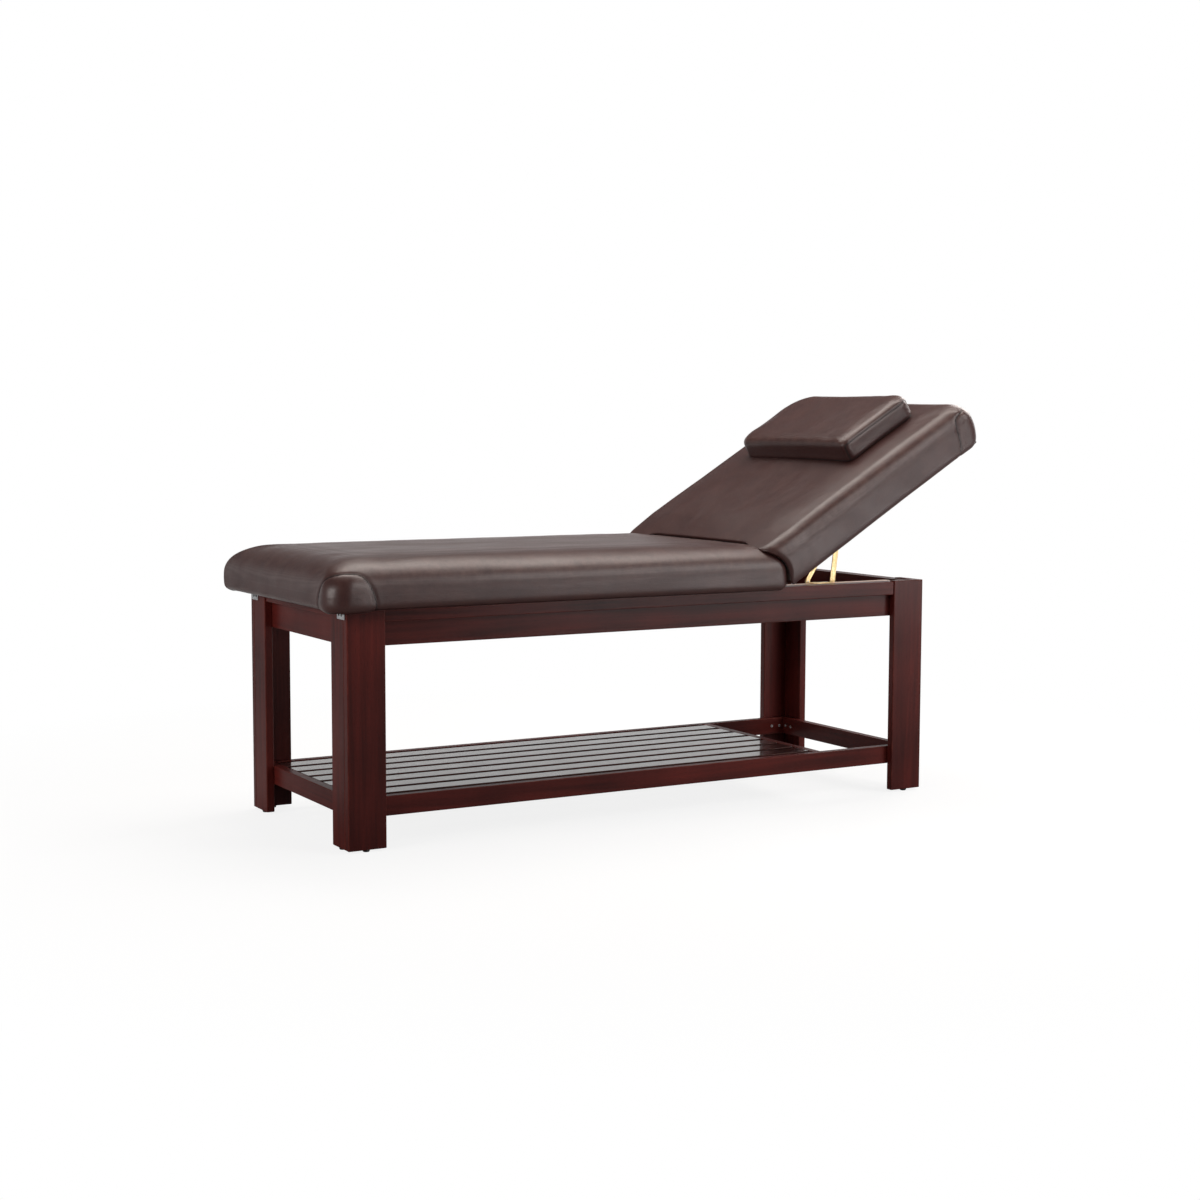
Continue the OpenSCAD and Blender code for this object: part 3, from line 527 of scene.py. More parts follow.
# %% [markdown]
# ## Boards
# Every wooden part is a planed board with its arrises eased. A plain box would catch no light on
# its edges, so each board is a box whose edges are rounded over by about a millimetre and a half.
# Its corners carry their place along, across and through the board for the grain, and the rounded
# faces are marked as edges for the wear and its painted highlight.

# %% Make a piece
def mesh_of(name, shape, turn_out=True):
    """Makes a mesh of a bmesh, with its faces turned outwards, and frees the bmesh."""
    if turn_out:
        bmesh.ops.recalc_face_normals(shape, faces=shape.faces)
    mesh = bpy.data.meshes.new(name)
    shape.to_mesh(mesh)
    shape.free()
    return mesh


def finish_piece(name, mesh, material, node_names, body, smooth=True):
    """Links a mesh as a piece of the bed, with its finish, body and the nodes it stands for."""
    piece = put(name, mesh)
    if material is not None:
        mesh.materials.clear()
        mesh.materials.append(material)
    if smooth:
        mesh.shade_smooth()
    if node_names:
        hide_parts(*node_names)
    if body:
        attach(piece, body)
    return piece


print("nodes of the bed:", len(nodes))


# %% Round a board
GRAIN_STEPS = (3.7, 0.61, 0.043)


def rounded_box(shape, low, high, edge, along, count, place):
    """Adds a rounded box to a bmesh, with its grain coordinates and its edge mask. Each board is
    cut a step further along, across and through the wood than the one before."""
    layers = shape.verts.layers.float_vector
    grain = layers.get("grain") or layers.new("grain")
    mask = shape.faces.layers.float.get("edge") or shape.faces.layers.float.new("edge")
    made = bmesh.ops.create_cube(shape, size=1.0)
    size, middle = high - low, (high + low) / 2
    for vert in made["verts"]:
        vert.co = Vector([middle[k] + vert.co[k] * size[k] for k in range(3)])
    edges = list({e for v in made["verts"] for e in v.link_edges})
    bevelled = bmesh.ops.bevel(shape, geom=edges, offset=min(edge, min(size) * 0.3), segments=3,
                               profile=0.5, affect="EDGES")
    verts = set(bevelled["verts"]) | {v for v in made["verts"] if v.is_valid}
    across, through = sorted([k for k in range(3) if k != along], key=lambda k: -size[k])
    for vert in verts:
        local = vert.co - middle
        vert[grain] = Vector([local[axis] + step * count
                              for axis, step in zip((along, across, through), GRAIN_STEPS)])
    for face in {f for v in verts for f in v.link_faces}:
        flat = max(abs(c) for c in face.normal) > 0.999
        face[mask] = 0.0 if flat else 1.0
    for vert in verts:
        vert.co = place @ vert.co


print("cut steps through the wood:", GRAIN_STEPS)


# %% Set out the boards
board_count = 0


def boards(node, along, material=MAHOGANY, place=LEVEL, edge=1.5 * MM):
    """Stands for a wooden node: one rounded board for each of its solids."""
    global board_count
    shape = bmesh.new()
    for points in solids(node, place):
        board_count += 1
        rounded_box(shape, Vector(points.min(0)), Vector(points.max(0)), edge, along, board_count,
                    place)
    return finish_piece(node + "_board", mesh_of(node + "_board", shape), material, [node],
                        nodes[node]["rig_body"], smooth=False)


X_AXIS, Y_AXIS, Z_AXIS = 0, 1, 2
for end in ("foot", "head"):
    for side in ("near", "far"):
        for face in ("side", "end"):
            boards(f"leg_{end}_{side}_{face}", Z_AXIS, edge=2.0 * MM)
for part in ("upper_rail", "band", "shelf_rail"):
    for place_name, axis in (("near", X_AXIS), ("far", X_AXIS), ("foot", Y_AXIS), ("head", Y_AXIS)):
        boards(f"{part}_{place_name}", axis)
for beam in ("hinge_beam", "cross_beams", "shelf_cross_rail", "shelf_bearers"):
    boards(beam, Y_AXIS)
for side in ("near", "far"):
    boards(f"cleat_{side}", X_AXIS, PALE_WOOD, edge=2.0 * MM)
boards("rest_blocks", X_AXIS, place=TO_BACK)
boards("foot_board", X_AXIS, PLYWOOD, edge=0.8 * MM)
boards("back_board", X_AXIS, PLYWOOD, TO_BACK, edge=0.8 * MM)
print("boards made:", board_count)


# %% [markdown]
# ## Growing repeated parts with Geometry Nodes
# Slats, screws, glides and stitches are one shape set out many times. Each gets a small node tree
# with named sizes: points are laid out, the shape is placed on each, and the result is made real
# and given its material, because an export keeps no instances. The helper below runs a tree on a
# carrier mesh and hands back a plain mesh.

# %% Run a geometry tree
SOLID, FORM = "NodeSocketGeometry", "NodeSocketObject"
FINISH, COUNT = "NodeSocketMaterial", "NodeSocketInt"
print("kinds of input:", SOLID, FORM, FINISH, COUNT)


def carrier(name, points, links=()):
    """A mesh of loose points, or of a path where links are given, for a tree to grow on."""
    mesh = bpy.data.meshes.new(name)
    mesh.from_pydata([tuple(p) for p in points], [tuple(l) for l in links], [])
    return put(name, mesh)


def set_each(items, field, values):
    """Gives each item of a mesh its value."""
    items.foreach_set(field, np.array(values, np.float32).ravel())


def point_data(carried, name, kind, values):
    """Keeps one value for each point of a piece or carrier, under that name."""
    set_each(carried.data.attributes.new(name, kind, "POINT").data,
             "vector" if kind == "FLOAT_VECTOR" else "value", values)


def grow(name, carried, tree, values):
    """Runs the tree on the carrier, and returns the result as a plain mesh."""
    sockets = {s.name: s.identifier for s in tree.interface.items_tree
               if s.item_type == "SOCKET" and s.in_out == "INPUT"}
    modifier = carried.modifiers.new(name, "NODES")
    modifier.node_group = tree
    for label, value in values.items():
        modifier[sockets[label]] = value
    bpy.context.view_layer.update()
    depsgraph = bpy.context.evaluated_depsgraph_get()
    mesh = bpy.data.meshes.new_from_object(carried.evaluated_get(depsgraph),
                                           preserve_all_data_layers=True, depsgraph=depsgraph)
    mesh.name = name
    carried.modifiers.remove(modifier)
    bpy.data.objects.remove(carried)
    print(name, "grown:", len(mesh.polygons), "faces")
    return mesh


print("trees so far:", len(bpy.data.node_groups))


# %% Turned forms
def hidden_form(name, shape):
    """A shape for a tree to place. It is dropped once the trees have run."""
    mesh = mesh_of(name, shape)
    mesh.shade_smooth()
    return put(name, mesh)


def lathe(outline, steps=20):
    """Turns an outline of (radius, height) points about the Z axis. Both ends lie on the axis."""
    shape = bmesh.new()
    rings = []
    turns = [2 * math.pi * k / steps for k in range(steps)]
    for radius, height in outline:
        spots = [(radius * math.cos(a), radius * math.sin(a), height) for a in turns]
        rings.append([shape.verts.new(spot) for spot in (spots if radius else [(0, 0, height)])])
    for low, high in zip(rings, rings[1:]):
        for k in range(steps):
            corners = [low[k % len(low)], low[(k + 1) % len(low)],
                       high[(k + 1) % len(high)], high[k % len(high)]]
            shape.faces.new(list(dict.fromkeys(corners)))
    return shape


cone = lathe([(0, 0), (1, 0), (0, 1)], 8)
print("a cone turned in 8 steps has", len(cone.faces), "faces")
cone.free()


# %% Steps that several trees share
def growing_tree(name, inputs):
    """An empty tree: geometry in, the sizes and forms it is given, its finish, and geometry out."""
    return group("GeometryNodeTree", name,
                 [("Geometry", SOLID, None), *inputs, ("Finish", FINISH, None)],
                 [("Geometry", SOLID)])


def own_value(tree, name, kind="FLOAT"):
    """A value that each point or board carries."""
    return add(tree, "GeometryNodeInputNamedAttribute", {"Name": name}, data_type=kind).outputs[0]


def copies(tree, points, form, **inputs):
    """A copy of a form on each point."""
    shape = add(tree, "GeometryNodeObjectInfo", {"Object": form}).outputs["Geometry"]
    return add(tree, "GeometryNodeInstanceOnPoints",
               {"Points": points, "Instance": shape, **inputs}).outputs[0]


def made_real(tree, copied):
    """Turns placed copies into plain geometry."""
    return add(tree, "GeometryNodeRealizeInstances", {"Geometry": copied}).outputs[0]


def close_tree(tree, end, geometry, finish):
    """Gives the geometry its material and sends it out of the tree."""
    painted = add(tree, "GeometryNodeSetMaterial", {"Geometry": geometry, "Material": finish})
    tree.links.new(painted.outputs[0], end.inputs[0])
    return tree


print("every tree ends in its finish, of the kind", FINISH)


# %% [markdown]
# ## The slatted shelf
# The shelf is seven flat slats at an even spacing on three bearers. One slat is rounded like the
# other boards, set out along a line of points by its pitch, and each copy gets a cut of its own by
# moving its grain.

# %% Grow the slats
SLAT_CUT, SLAT_EDGE = 20, 2.0 * MM


def slat_tree():
    """Slats in a row: Count of them, Pitch apart, each with its own grain."""
    tree, given, end = growing_tree("slat_row", [
        ("Slat", FORM, None), ("Count", COUNT, 4), ("Pitch", NUMBER, 0.06),
        ("Grain step", NUMBER, 2.3)])
    pitch = add(tree, "ShaderNodeCombineXYZ", {1: given["Pitch"]}).outputs[0]
    line = add(tree, "GeometryNodeMeshLine", {"Count": given["Count"], "Offset": pitch},
               mode="OFFSET")
    numbered = add(tree, "GeometryNodeStoreNamedAttribute", {
        "Geometry": copies(tree, line.outputs[0], given["Slat"]), "Name": "board",
        "Value": add(tree, "GeometryNodeInputIndex").outputs[0]},
        data_type="FLOAT", domain="INSTANCE")
    board = own_value(tree, "board")
    moved = add(tree, "ShaderNodeCombineXYZ", {0: times(tree, board, given["Grain step"]),
                                               1: times(tree, board, 0.37)}).outputs[0]
    shifted = add(tree, "ShaderNodeVectorMath",
                  {0: own_value(tree, "grain", "FLOAT_VECTOR"), 1: moved}, operation="ADD")
    stored = add(tree, "GeometryNodeStoreNamedAttribute", {
        "Geometry": made_real(tree, numbered.outputs[0]), "Name": "grain",
        "Value": shifted.outputs[0]}, data_type="FLOAT_VECTOR", domain="POINT")
    return close_tree(tree, end, stored.outputs[0], given["Finish"])


slat_row = slat_tree()
for node in ("shelf_slats_near", "shelf_slats_far"):
    slats = solids(node)
    shape = bmesh.new()
    rounded_box(shape, Vector(slats[0].min(0)), Vector(slats[0].max(0)), SLAT_EDGE, X_AXIS,
                SLAT_CUT + len(slats), LEVEL)
    first = hidden_form("one_slat", shape)
    first.data.shade_flat()
    pitch = float(slats[1].min(0)[1] - slats[0].min(0)[1])
    mesh = grow(node + "_row", carrier("slat_start", [(0, 0, 0)]), slat_row,
                {"Slat": first, "Count": len(slats), "Pitch": pitch, "Finish": SHELF_WOOD})
    bpy.data.objects.remove(first)
    finish_piece(node + "_row", mesh, None, [node], "bed_frame", smooth=False)
    print(node, "pitch", round(pitch, 4))


# %% [markdown]
# ## Screws and glides
# All screws are cross-head wood screws, sunk until the head sits just proud of its plate. Their
# places, directions and lengths are read from the solids of the measured bed. The head is turned
# on a lathe and its cross is cut in, and the shank is a separate short form, so one head serves
# every length. The glides under the legs are turned discs.

# %% Screw forms
HEAD_RADIUS, SHANK_RADIUS, TIP_RADIUS = 4.0 * MM, 2.0 * MM, 0.2 * MM
HEAD_DEPTH, HEAD_PROUD, RECESS_DEPTH = 2.5 * MM, 0.45 * MM, 1.3 * MM


def screw_head(name):
    """A countersunk head, slightly domed, with a cross recess pressed into it."""
    face = [(HEAD_RADIUS * share, -HEAD_PROUD) for share in (0.62, 0.42, 0.2, 0)]
    rim = [(HEAD_RADIUS, 0.0), (HEAD_RADIUS * 0.98, -0.2 * MM),
           (HEAD_RADIUS * 0.86, -HEAD_PROUD * 0.8)]
    shape = lathe([(0, HEAD_DEPTH), (SHANK_RADIUS, HEAD_DEPTH)] + rim + face, 24)
    for vert in shape.verts:
        radius = vert.co.xy.length
        turn = math.atan2(vert.co.y, vert.co.x)
        in_cross = abs(math.sin(2 * turn)) < 0.35 or radius < 0.25 * HEAD_RADIUS
        if vert.co.z < -0.9 * HEAD_PROUD and radius < 0.55 * HEAD_RADIUS and in_cross:
            vert.co.z += RECESS_DEPTH * (1 - radius / HEAD_RADIUS)
    return hidden_form(name, shape)


def screw_shank(name):
    """A shank one unit long that narrows to its point. The tree stretches it to length."""
    return hidden_form(name, lathe([(0, 0.0), (SHANK_RADIUS, 0.0), (SHANK_RADIUS, 0.86),
                                    (TIP_RADIUS, 1.0), (0, 1.0)], 10))


print("screw heads", 2 * HEAD_RADIUS, "m wide on shanks of", 2 * SHANK_RADIUS, "m")


# %% Screw tree
def screw_tree():
    """A head and a shank on each point, turned by its "turn" and as long as its "length"."""
    tree, given, end = growing_tree("screws", [
        ("Head", FORM, None), ("Shank", FORM, None), ("Head depth", NUMBER, 0.002)])
    turn = own_value(tree, "turn", "FLOAT_VECTOR")
    rotation = add(tree, "FunctionNodeEulerToRotation", {0: turn}).outputs[0]
    length = own_value(tree, "length")
    stretch = add(tree, "ShaderNodeCombineXYZ", {0: 1.0, 1: 1.0, 2: length}).outputs[0]
    sunk = add(tree, "ShaderNodeCombineXYZ", {2: given["Head depth"]}).outputs[0]
    heads = copies(tree, given["Geometry"], given["Head"], Rotation=rotation)
    shanks = copies(tree, given["Geometry"], given["Shank"], Rotation=rotation, Scale=stretch)
    shanks = add(tree, "GeometryNodeTranslateInstances", {
        "Instances": shanks, "Translation": sunk, "Local Space": True}).outputs[0]
    joined = tree.nodes.new("GeometryNodeJoinGeometry")
    for part in (shanks, heads):
        tree.links.new(part, joined.inputs[0])
    return close_tree(tree, end, made_real(tree, joined.outputs[0]), given["Finish"])


screws = screw_tree()
print("screw tree:", len(screws.nodes), "nodes")


# %% Read the screws
def read_screw(points):
    """Where a screw's head is, which way it points, and its length, from its turned solid."""
    middle = points.mean(0)
    axis = np.linalg.svd(points - middle, full_matrices=False)[2][0]
    along = (points - middle) @ axis
    radius = np.linalg.norm(points - middle - np.outer(along, axis), axis=1)
    rim = along[radius > 0.9 * HEAD_RADIUS].mean()
    if rim > 0:
        axis, along, rim = -axis, -along, -rim
    return middle + axis * rim, axis, float(along.max() - rim)


fitting, framing, backing = ([read_screw(p) for p in solids(node)]
                             for node in ("fitting_screws", "frame_screws", "back_screws"))
print("screws read:", len(fitting), len(framing), len(backing))


# %% Set the screws
one_head, one_shank = screw_head("one_head"), screw_shank("one_shank")
BRACKET_REACH, SHORT_SCREW = 30 * MM, 12 * MM


def set_screws(name, found, material, node_names, body):
    """One piece of screws: found is a list of (head, direction, length)."""
    carried = carrier(name + "_places", [f[0] for f in found])
    turns = [Vector(f[1]).to_track_quat("Z", "Y").to_euler() for f in found]
    point_data(carried, "turn", "FLOAT_VECTOR", [[t.x, t.y, t.z] for t in turns])
    point_data(carried, "length", "FLOAT", [f[2] - HEAD_DEPTH for f in found])
    mesh = grow(name, carried, screws, {"Head": one_head, "Shank": one_shank,
                                        "Head depth": HEAD_DEPTH, "Finish": material})
    return finish_piece(name, mesh, None, node_names, body)


bracket_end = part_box("foot_brackets")[1].x + BRACKET_REACH
at_brackets = [f for f in fitting if f[0][0] < bracket_end and f[2] < SHORT_SCREW]
others = [f for f in fitting if not any(f is b for b in at_brackets)]
for name, found, material, node_names, body in (
        ("fitting_screw_heads", others, BRIGHT_ZINC, ["fitting_screws"], "bed_frame"),
        ("bracket_screw_heads", at_brackets, DARK_SCREW, [], "bed_frame"),
        ("frame_screw_heads", framing, BRIGHT_ZINC, ["frame_screws"], "bed_frame"),
        ("back_screw_heads", backing, BRIGHT_ZINC, ["back_screws"], "backrest")):
    set_screws(name, found, material, node_names, body)
for form in (one_head, one_shank):
    bpy.data.objects.remove(form)
print("screws at the brackets:", len(at_brackets), "elsewhere:", len(others))


# %% Grow the glides
def glide_tree():
    """One glide on each point."""
    tree, given, end = growing_tree("glides", [("Glide", FORM, None)])
    placed = copies(tree, given["Geometry"], given["Glide"])
    return close_tree(tree, end, made_real(tree, placed), given["Finish"])


feet = solids("glides")
foot_radius = float(np.ptp(feet[0], axis=0)[0] / 2)
GLIDE_HIGH, GLIDE_STEPS = 5.0 * MM, 28
outline = [(0, 0), (0.72, 0), (0.84, 0.4 * MM), (0.9, 1.4 * MM), (1, GLIDE_HIGH - 1.2 * MM),
           (0.97, GLIDE_HIGH), (0, GLIDE_HIGH)]
turned = lathe([(foot_radius * share, high) for share, high in outline], GLIDE_STEPS)
one_glide = hidden_form("one_glide", turned)
centres = [(*(p.min(0) + p.max(0))[:2] / 2, 0) for p in feet]
mesh = grow("leg_glides", carrier("glide_places", centres), glide_tree(),
            {"Glide": one_glide, "Finish": BLACK_NYLON})
bpy.data.objects.remove(one_glide)
finish_piece("leg_glides", mesh, None, ["glides"], "bed_frame")
print("glides:", len(centres), "radius", round(foot_radius, 4))


# %% [markdown]
# ## Pressed and turned steel
# The arms, stays, tracks, hinges and brackets are flat steel, punched and bent, and their pins are
# turned. Their shapes are exact in the measured bed, holes and slots included, so each is copied,
# its flat faces are joined up, and its sharp edges are eased by half a millimetre, which is what a
# tumbled and plated part shows. The eased faces are marked for the wear.

# %% Ease the edges of the steel
SHARP, SHADED_SHARP, LEVEL_ENOUGH = (math.radians(a) for a in (35, 32, 0.5))
PLATE_EASED, PIN_EASED, BRACKET_EASED = 0.45 * MM, 0.4 * MM, 0.5 * MM


def soften(node, width, material):
    """Stands for a steel node: its own shape with its edges eased."""
    shape = bmesh.new()
    shape.from_mesh(nodes[node].data)
    mask = shape.faces.layers.float.new("edge")
    bmesh.ops.remove_doubles(shape, verts=shape.verts, dist=1e-6)
    bmesh.ops.dissolve_limit(shape, angle_limit=LEVEL_ENOUGH, verts=shape.verts,
                             edges=shape.edges)
    sharp = [e for e in shape.edges if len(e.link_faces) == 2 and e.calc_face_angle() > SHARP]
    made = bmesh.ops.bevel(shape, geom=sharp, offset=width, segments=2, profile=0.5, affect="EDGES",
                           clamp_overlap=True)
    for face in made["faces"]:
        face[mask] = 1.0
    bmesh.ops.triangulate(shape, faces=[f for f in shape.faces if len(f.verts) > 4])
    mesh = mesh_of(node + "_steel", shape, turn_out=False)
    finish_piece(node + "_steel", mesh, material, [node], nodes[node]["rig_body"])
    mesh.set_sharp_from_angle(angle=SHADED_SHARP)


for node in ("arm_near", "arm_far", "stay_near", "stay_far", "arm_tracks", "stay_tracks",
             "arm_brackets", "stay_brackets", "hinge_brackets", "hinge_straps"):
    soften(node, PLATE_EASED, YELLOW_ZINC)
for node in ("hinge_pins", "arm_pivots", "arm_pin_near", "arm_pin_far", "stay_pin_near",
             "stay_pin_far"):
    soften(node, PIN_EASED, BRIGHT_ZINC)
soften("foot_brackets", BRACKET_EASED, BRIGHT_ZINC)
print("steel pieces eased")


# %% [markdown]
# ## The shape of a cushion
# A cushion is foam on a board, with leathercloth pulled over it and turned under the lip. Its form
# is built as rings: under the lip, up the side and over the soft edge, then a patch of curves that
# fills the top from the last ring. The columns stand closer together near the corners, where the
# seams run. A plain block with a bevel would have neither the drawn-in sides nor the domed corners.

# %% Rings
CORNER_STEPS, SIDE_TURNS, SIDE_BOW = 6, (270, 0, 90, 180), 3 * MM
DENSE_STEP, DENSE_REACH, WIDE_STEP = 9.0 * MM, 100 * MM, 21 * MM


def side_shares(length):
    """Where the columns stand along a straight side, as shares of it, closer near both ends."""
    reach = min(DENSE_REACH, length * 0.4)
    dense = max(2, round(reach / DENSE_STEP))
    wide = max(1, math.ceil((length - 2 * reach) / WIDE_STEP))
    start = np.linspace(0, reach, dense + 1)[:-1]
    middle = np.linspace(reach, length - reach, wide + 1)[:-1]
    return np.concatenate([start, middle, length - reach + start, [length]]) / length


def towards(degrees):
    """The direction of an angle in plan."""
    return np.array([math.cos(math.radians(degrees)), math.sin(math.radians(degrees))])


def ring_outline(box, inset, foot, radii, shares):
    """One ring in plan, from the middle of the near foot corner round to itself. inset draws in the
    near, far and head sides. foot is where the foot side stands. radii go round in that order."""
    x0, x1, y0, y1 = foot, box[1] - inset[2], box[2] + inset[0], box[3] - inset[1]
    corners = [(x0, y0, radii[0]), (x1, y0, radii[1]), (x1, y1, radii[2]), (x0, y1, radii[3])]
    signs = [(1, 1), (-1, 1), (-1, -1), (1, -1)]
    centres = [np.array([x + sx * r, y + sy * r]) for (x, y, r), (sx, sy) in zip(corners, signs)]
    points = []
    for k, turn in enumerate(SIDE_TURNS):
        out, following = towards(turn), (k + 1) % 4
        for step in range(CORNER_STEPS):
            points.append(centres[k] + radii[k] * towards(turn - 45 + 45 * step / CORNER_STEPS))
        first = centres[k] + radii[k] * out
        last = centres[following] + radii[following] * out
        for share in shares[k % 2]:
            bowed = SIDE_BOW * math.sin(math.pi * share)
            points.append(first + (last - first) * share - out * bowed)
        for step in range(1, CORNER_STEPS):
            points.append(centres[following]
                          + radii[following] * towards(turn + 45 * step / CORNER_STEPS))
    return np.array(points)


print("a side of 1 m has", len(side_shares(1.0)), "columns")


# %% Fill the top and close the form
def top_patch(ring, long_steps, short_steps):
    """Fills a ring with a patch of curves between its four sides. Returns its inner points."""
    near = ring[:long_steps + 1]
    head = ring[long_steps:long_steps + short_steps + 1]
    far = ring[long_steps + short_steps:2 * long_steps + short_steps + 1][::-1]
    foot = np.vstack([ring[2 * long_steps + short_steps:], ring[:1]])[::-1]

    def along(side):
        steps = np.linalg.norm(np.diff(side[:, :2], axis=0), axis=1)
        run = np.concatenate([[0], np.cumsum(steps)])
        return run / run[-1]
    u, v = along(near)[:, None, None], along(head)[None, :, None]
    sheet = ((1 - v) * near[:, None] + v * far[:, None] + (1 - u) * foot[None] + u * head[None]
             - (1 - u) * (1 - v) * near[0] - u * (1 - v) * near[-1]
             - (1 - u) * v * far[0] - u * v * far[-1])
    return sheet[1:-1, 1:-1]


def cushion_form(box, rings, crown, reach, lift):
    """The closed form of a cushion. rings are (height, inset, foot, radii), from the board up.
    Returns its corners, its faces, the ring grid and the two side counts."""
    middle = rings[len(rings) // 2][3]
    shares = (side_shares(box[1] - box[0] - middle[0] - middle[1]),
              side_shares(box[3] - box[2] - middle[1] - middle[2]))
    grid = []
    for height, inset, foot, radii in rings:
        flat = ring_outline(box, inset, foot, radii, shares)
        grid.append(np.c_[flat, [lift(p, height) for p in flat]])
    grid = np.array(grid)
    long_steps, short_steps = (len(s) - 1 + 2 * CORNER_STEPS for s in shares)
    inner = top_patch(grid[-1], long_steps, short_steps)
    low, high = grid[-1].min(0), grid[-1].max(0)

    def rise(at, a, b):
        share = np.clip(np.minimum(at - a, b - at) / reach, 0, 1)
        return 1 - (1 - share) ** 2
    inner[..., 2] += (crown * rise(inner[..., 0], low[0], high[0])
                      * rise(inner[..., 1], low[1], high[1]))
    ring_count, columns = grid.shape[:2]
    corners = np.vstack([grid.reshape(-1, 3), inner.reshape(-1, 3)])
    faces = [tuple(range(columns))[::-1]]
    for j in range(ring_count - 1):
        for i in range(columns):
            k = (i + 1) % columns
            low_row, high_row = j * columns, (j + 1) * columns
            faces.append((low_row + i, low_row + k, high_row + k, high_row + i))
    last = (ring_count - 1) * columns

    def at(i, j):
        if j == 0:
            return last + i
        if i == long_steps:
            return last + long_steps + j
        if j == short_steps:
            return last + 2 * long_steps + short_steps - i
        if i == 0:
            return last + (2 * (long_steps + short_steps) - j) % columns
        return ring_count * columns + (i - 1) * (short_steps - 1) + j - 1
    faces += [(at(i, j), at(i + 1, j), at(i + 1, j + 1), at(i, j + 1))
              for i in range(long_steps) for j in range(short_steps)]
    return corners, faces, (ring_count, columns), (long_steps, short_steps)


print("steps round each half corner:", CORNER_STEPS)


# %% The profile
LIP_STEPS, EDGE_STEPS, EDGE_POWER, DOME_GROWTH = 4, 14, 2.5, 0.35
UNDER_STEP, SIDE_STEP, HELD_CORNER, LEAST_CORNER = 3 * MM, 8 * MM, 8 * MM, 3 * MM


def profile(z0, z1, lip, edge, radii, foot_at, foot_share=1.0, far_share=1.0, head_in=None,
            board=None, inside=0.0, foot_inside=0.0):
    """The rings of a cushion: from its board, under the lip, up the side and over the soft edge,
    and how many of them are held. lip and edge are (inset, height) of the two roundings. The upper
    one starts gently, so that the side never looks flat. The far side takes far_share of the
    edge's inset, the foot side foot_share, and head_in may give the head side one of its own."""
    drawn = head_in or (lambda z: 0.0)
    rings = []
    if board is not None:
        for z, inset in ((board, inside), (z0 + UNDER_STEP, inside), (z0, inside - UNDER_STEP)):
            rings.append((z, (inset,) * 3, foot_at(z) + foot_inside + inset - inside,
                          (HELD_CORNER,) * 4))
    for k in range(LIP_STEPS + 1):
        a = math.radians(90 * k / LIP_STEPS)
        inset = lip[0] * (1 - math.sin(a))
        z = z0 + lip[1] * (1 - math.cos(a))
        rings.append((z, (inset, inset, inset + drawn(z)), foot_at(z) + inset,
                      tuple(max(LEAST_CORNER, r - inset) for r in radii)))
    held = len(rings) - 2
    low, high = z0 + lip[1], z1 - edge[1]
    for z in np.linspace(low, high, max(2, round((high - low) / SIDE_STEP)) + 1)[1:-1]:
        rings.append((z, (0.0, 0.0, drawn(z)), foot_at(z), radii))
    for k in range(EDGE_STEPS + 1):
        a = math.radians(90 * k / EDGE_STEPS)
        inset = edge[0] * (1 - math.cos(a))
        z = z1 - edge[1] * (1 - math.sin(a) ** (2 / EDGE_POWER))
        rings.append((z, (inset, inset * far_share, head_in(z) if head_in else inset),
                      foot_at(z) + foot_share * inset,
                      tuple(r + DOME_GROWTH * inset for r in radii)))
    return rings, held


print("rings round a soft edge:", EDGE_STEPS + 1, "- round a lip:", LIP_STEPS + 1)


# %% [markdown]
# ## The three cushions before they are stuffed
# The leg cushion is a long pad with a big soft edge. The backrest has a firmer edge, and its foot
# end follows the end of the leg cushion with a narrow gap, as foam that is pressed against it
# does. The pillow is a small boxed pad. Each starts a few millimetres small, because the stuffing
# below makes it swell.

# %% Sizes of the leg cushion
def ramp(value, start, length):
    """0 up to start, 1 from start + length on, and even in between."""
    return min(1.0, max(0.0, (value - start) / length))


SWELL = 4 * MM
leg_low, leg_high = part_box("foot_cushion")
leg_box = (leg_low.x - 3 * MM, leg_high.x - 1 * MM, leg_low.y, leg_high.y)
LEG_LIP, LEG_TOP = leg_low.z, leg_low.z + 112 * MM
LEG_EDGE, LEG_LIP_ROUND = (85 * MM, 76 * MM), (14 * MM, 34 * MM)
CORNER = 32 * MM
LEG_CORNERS = (50 * MM, CORNER, CORNER, 7 * MM)
BOARD_INSIDE = 22 * MM
RAIL_WIDE, RAIL_STEP = 8 * MM, 12 * MM
HEAD_LIP, HEAD_REACH = LEG_LIP + 6 * MM, 24 * MM
board_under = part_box("foot_board")[0].z


def leg_lift(point, height):
    """The lip is higher where the head end of the leg cushion crosses the long rails."""
    inward = min(point[1] - leg_box[2], leg_box[3] - point[1])
    at_head = point[0] > leg_box[1] - HEAD_REACH
    share = ramp(inward, RAIL_WIDE, RAIL_STEP) if at_head else 0.0
    return max(height, height + share * (HEAD_LIP - height))


leg_rings, leg_held = profile(LEG_LIP, LEG_TOP - SWELL / 4, LEG_LIP_ROUND, LEG_EDGE, LEG_CORNERS,
                              lambda z: leg_box[0], board=board_under + 1 * MM,
                              inside=BOARD_INSIDE, foot_inside=BOARD_INSIDE)
print("leg cushion:", len(leg_rings), "rings,", leg_held, "of them held")


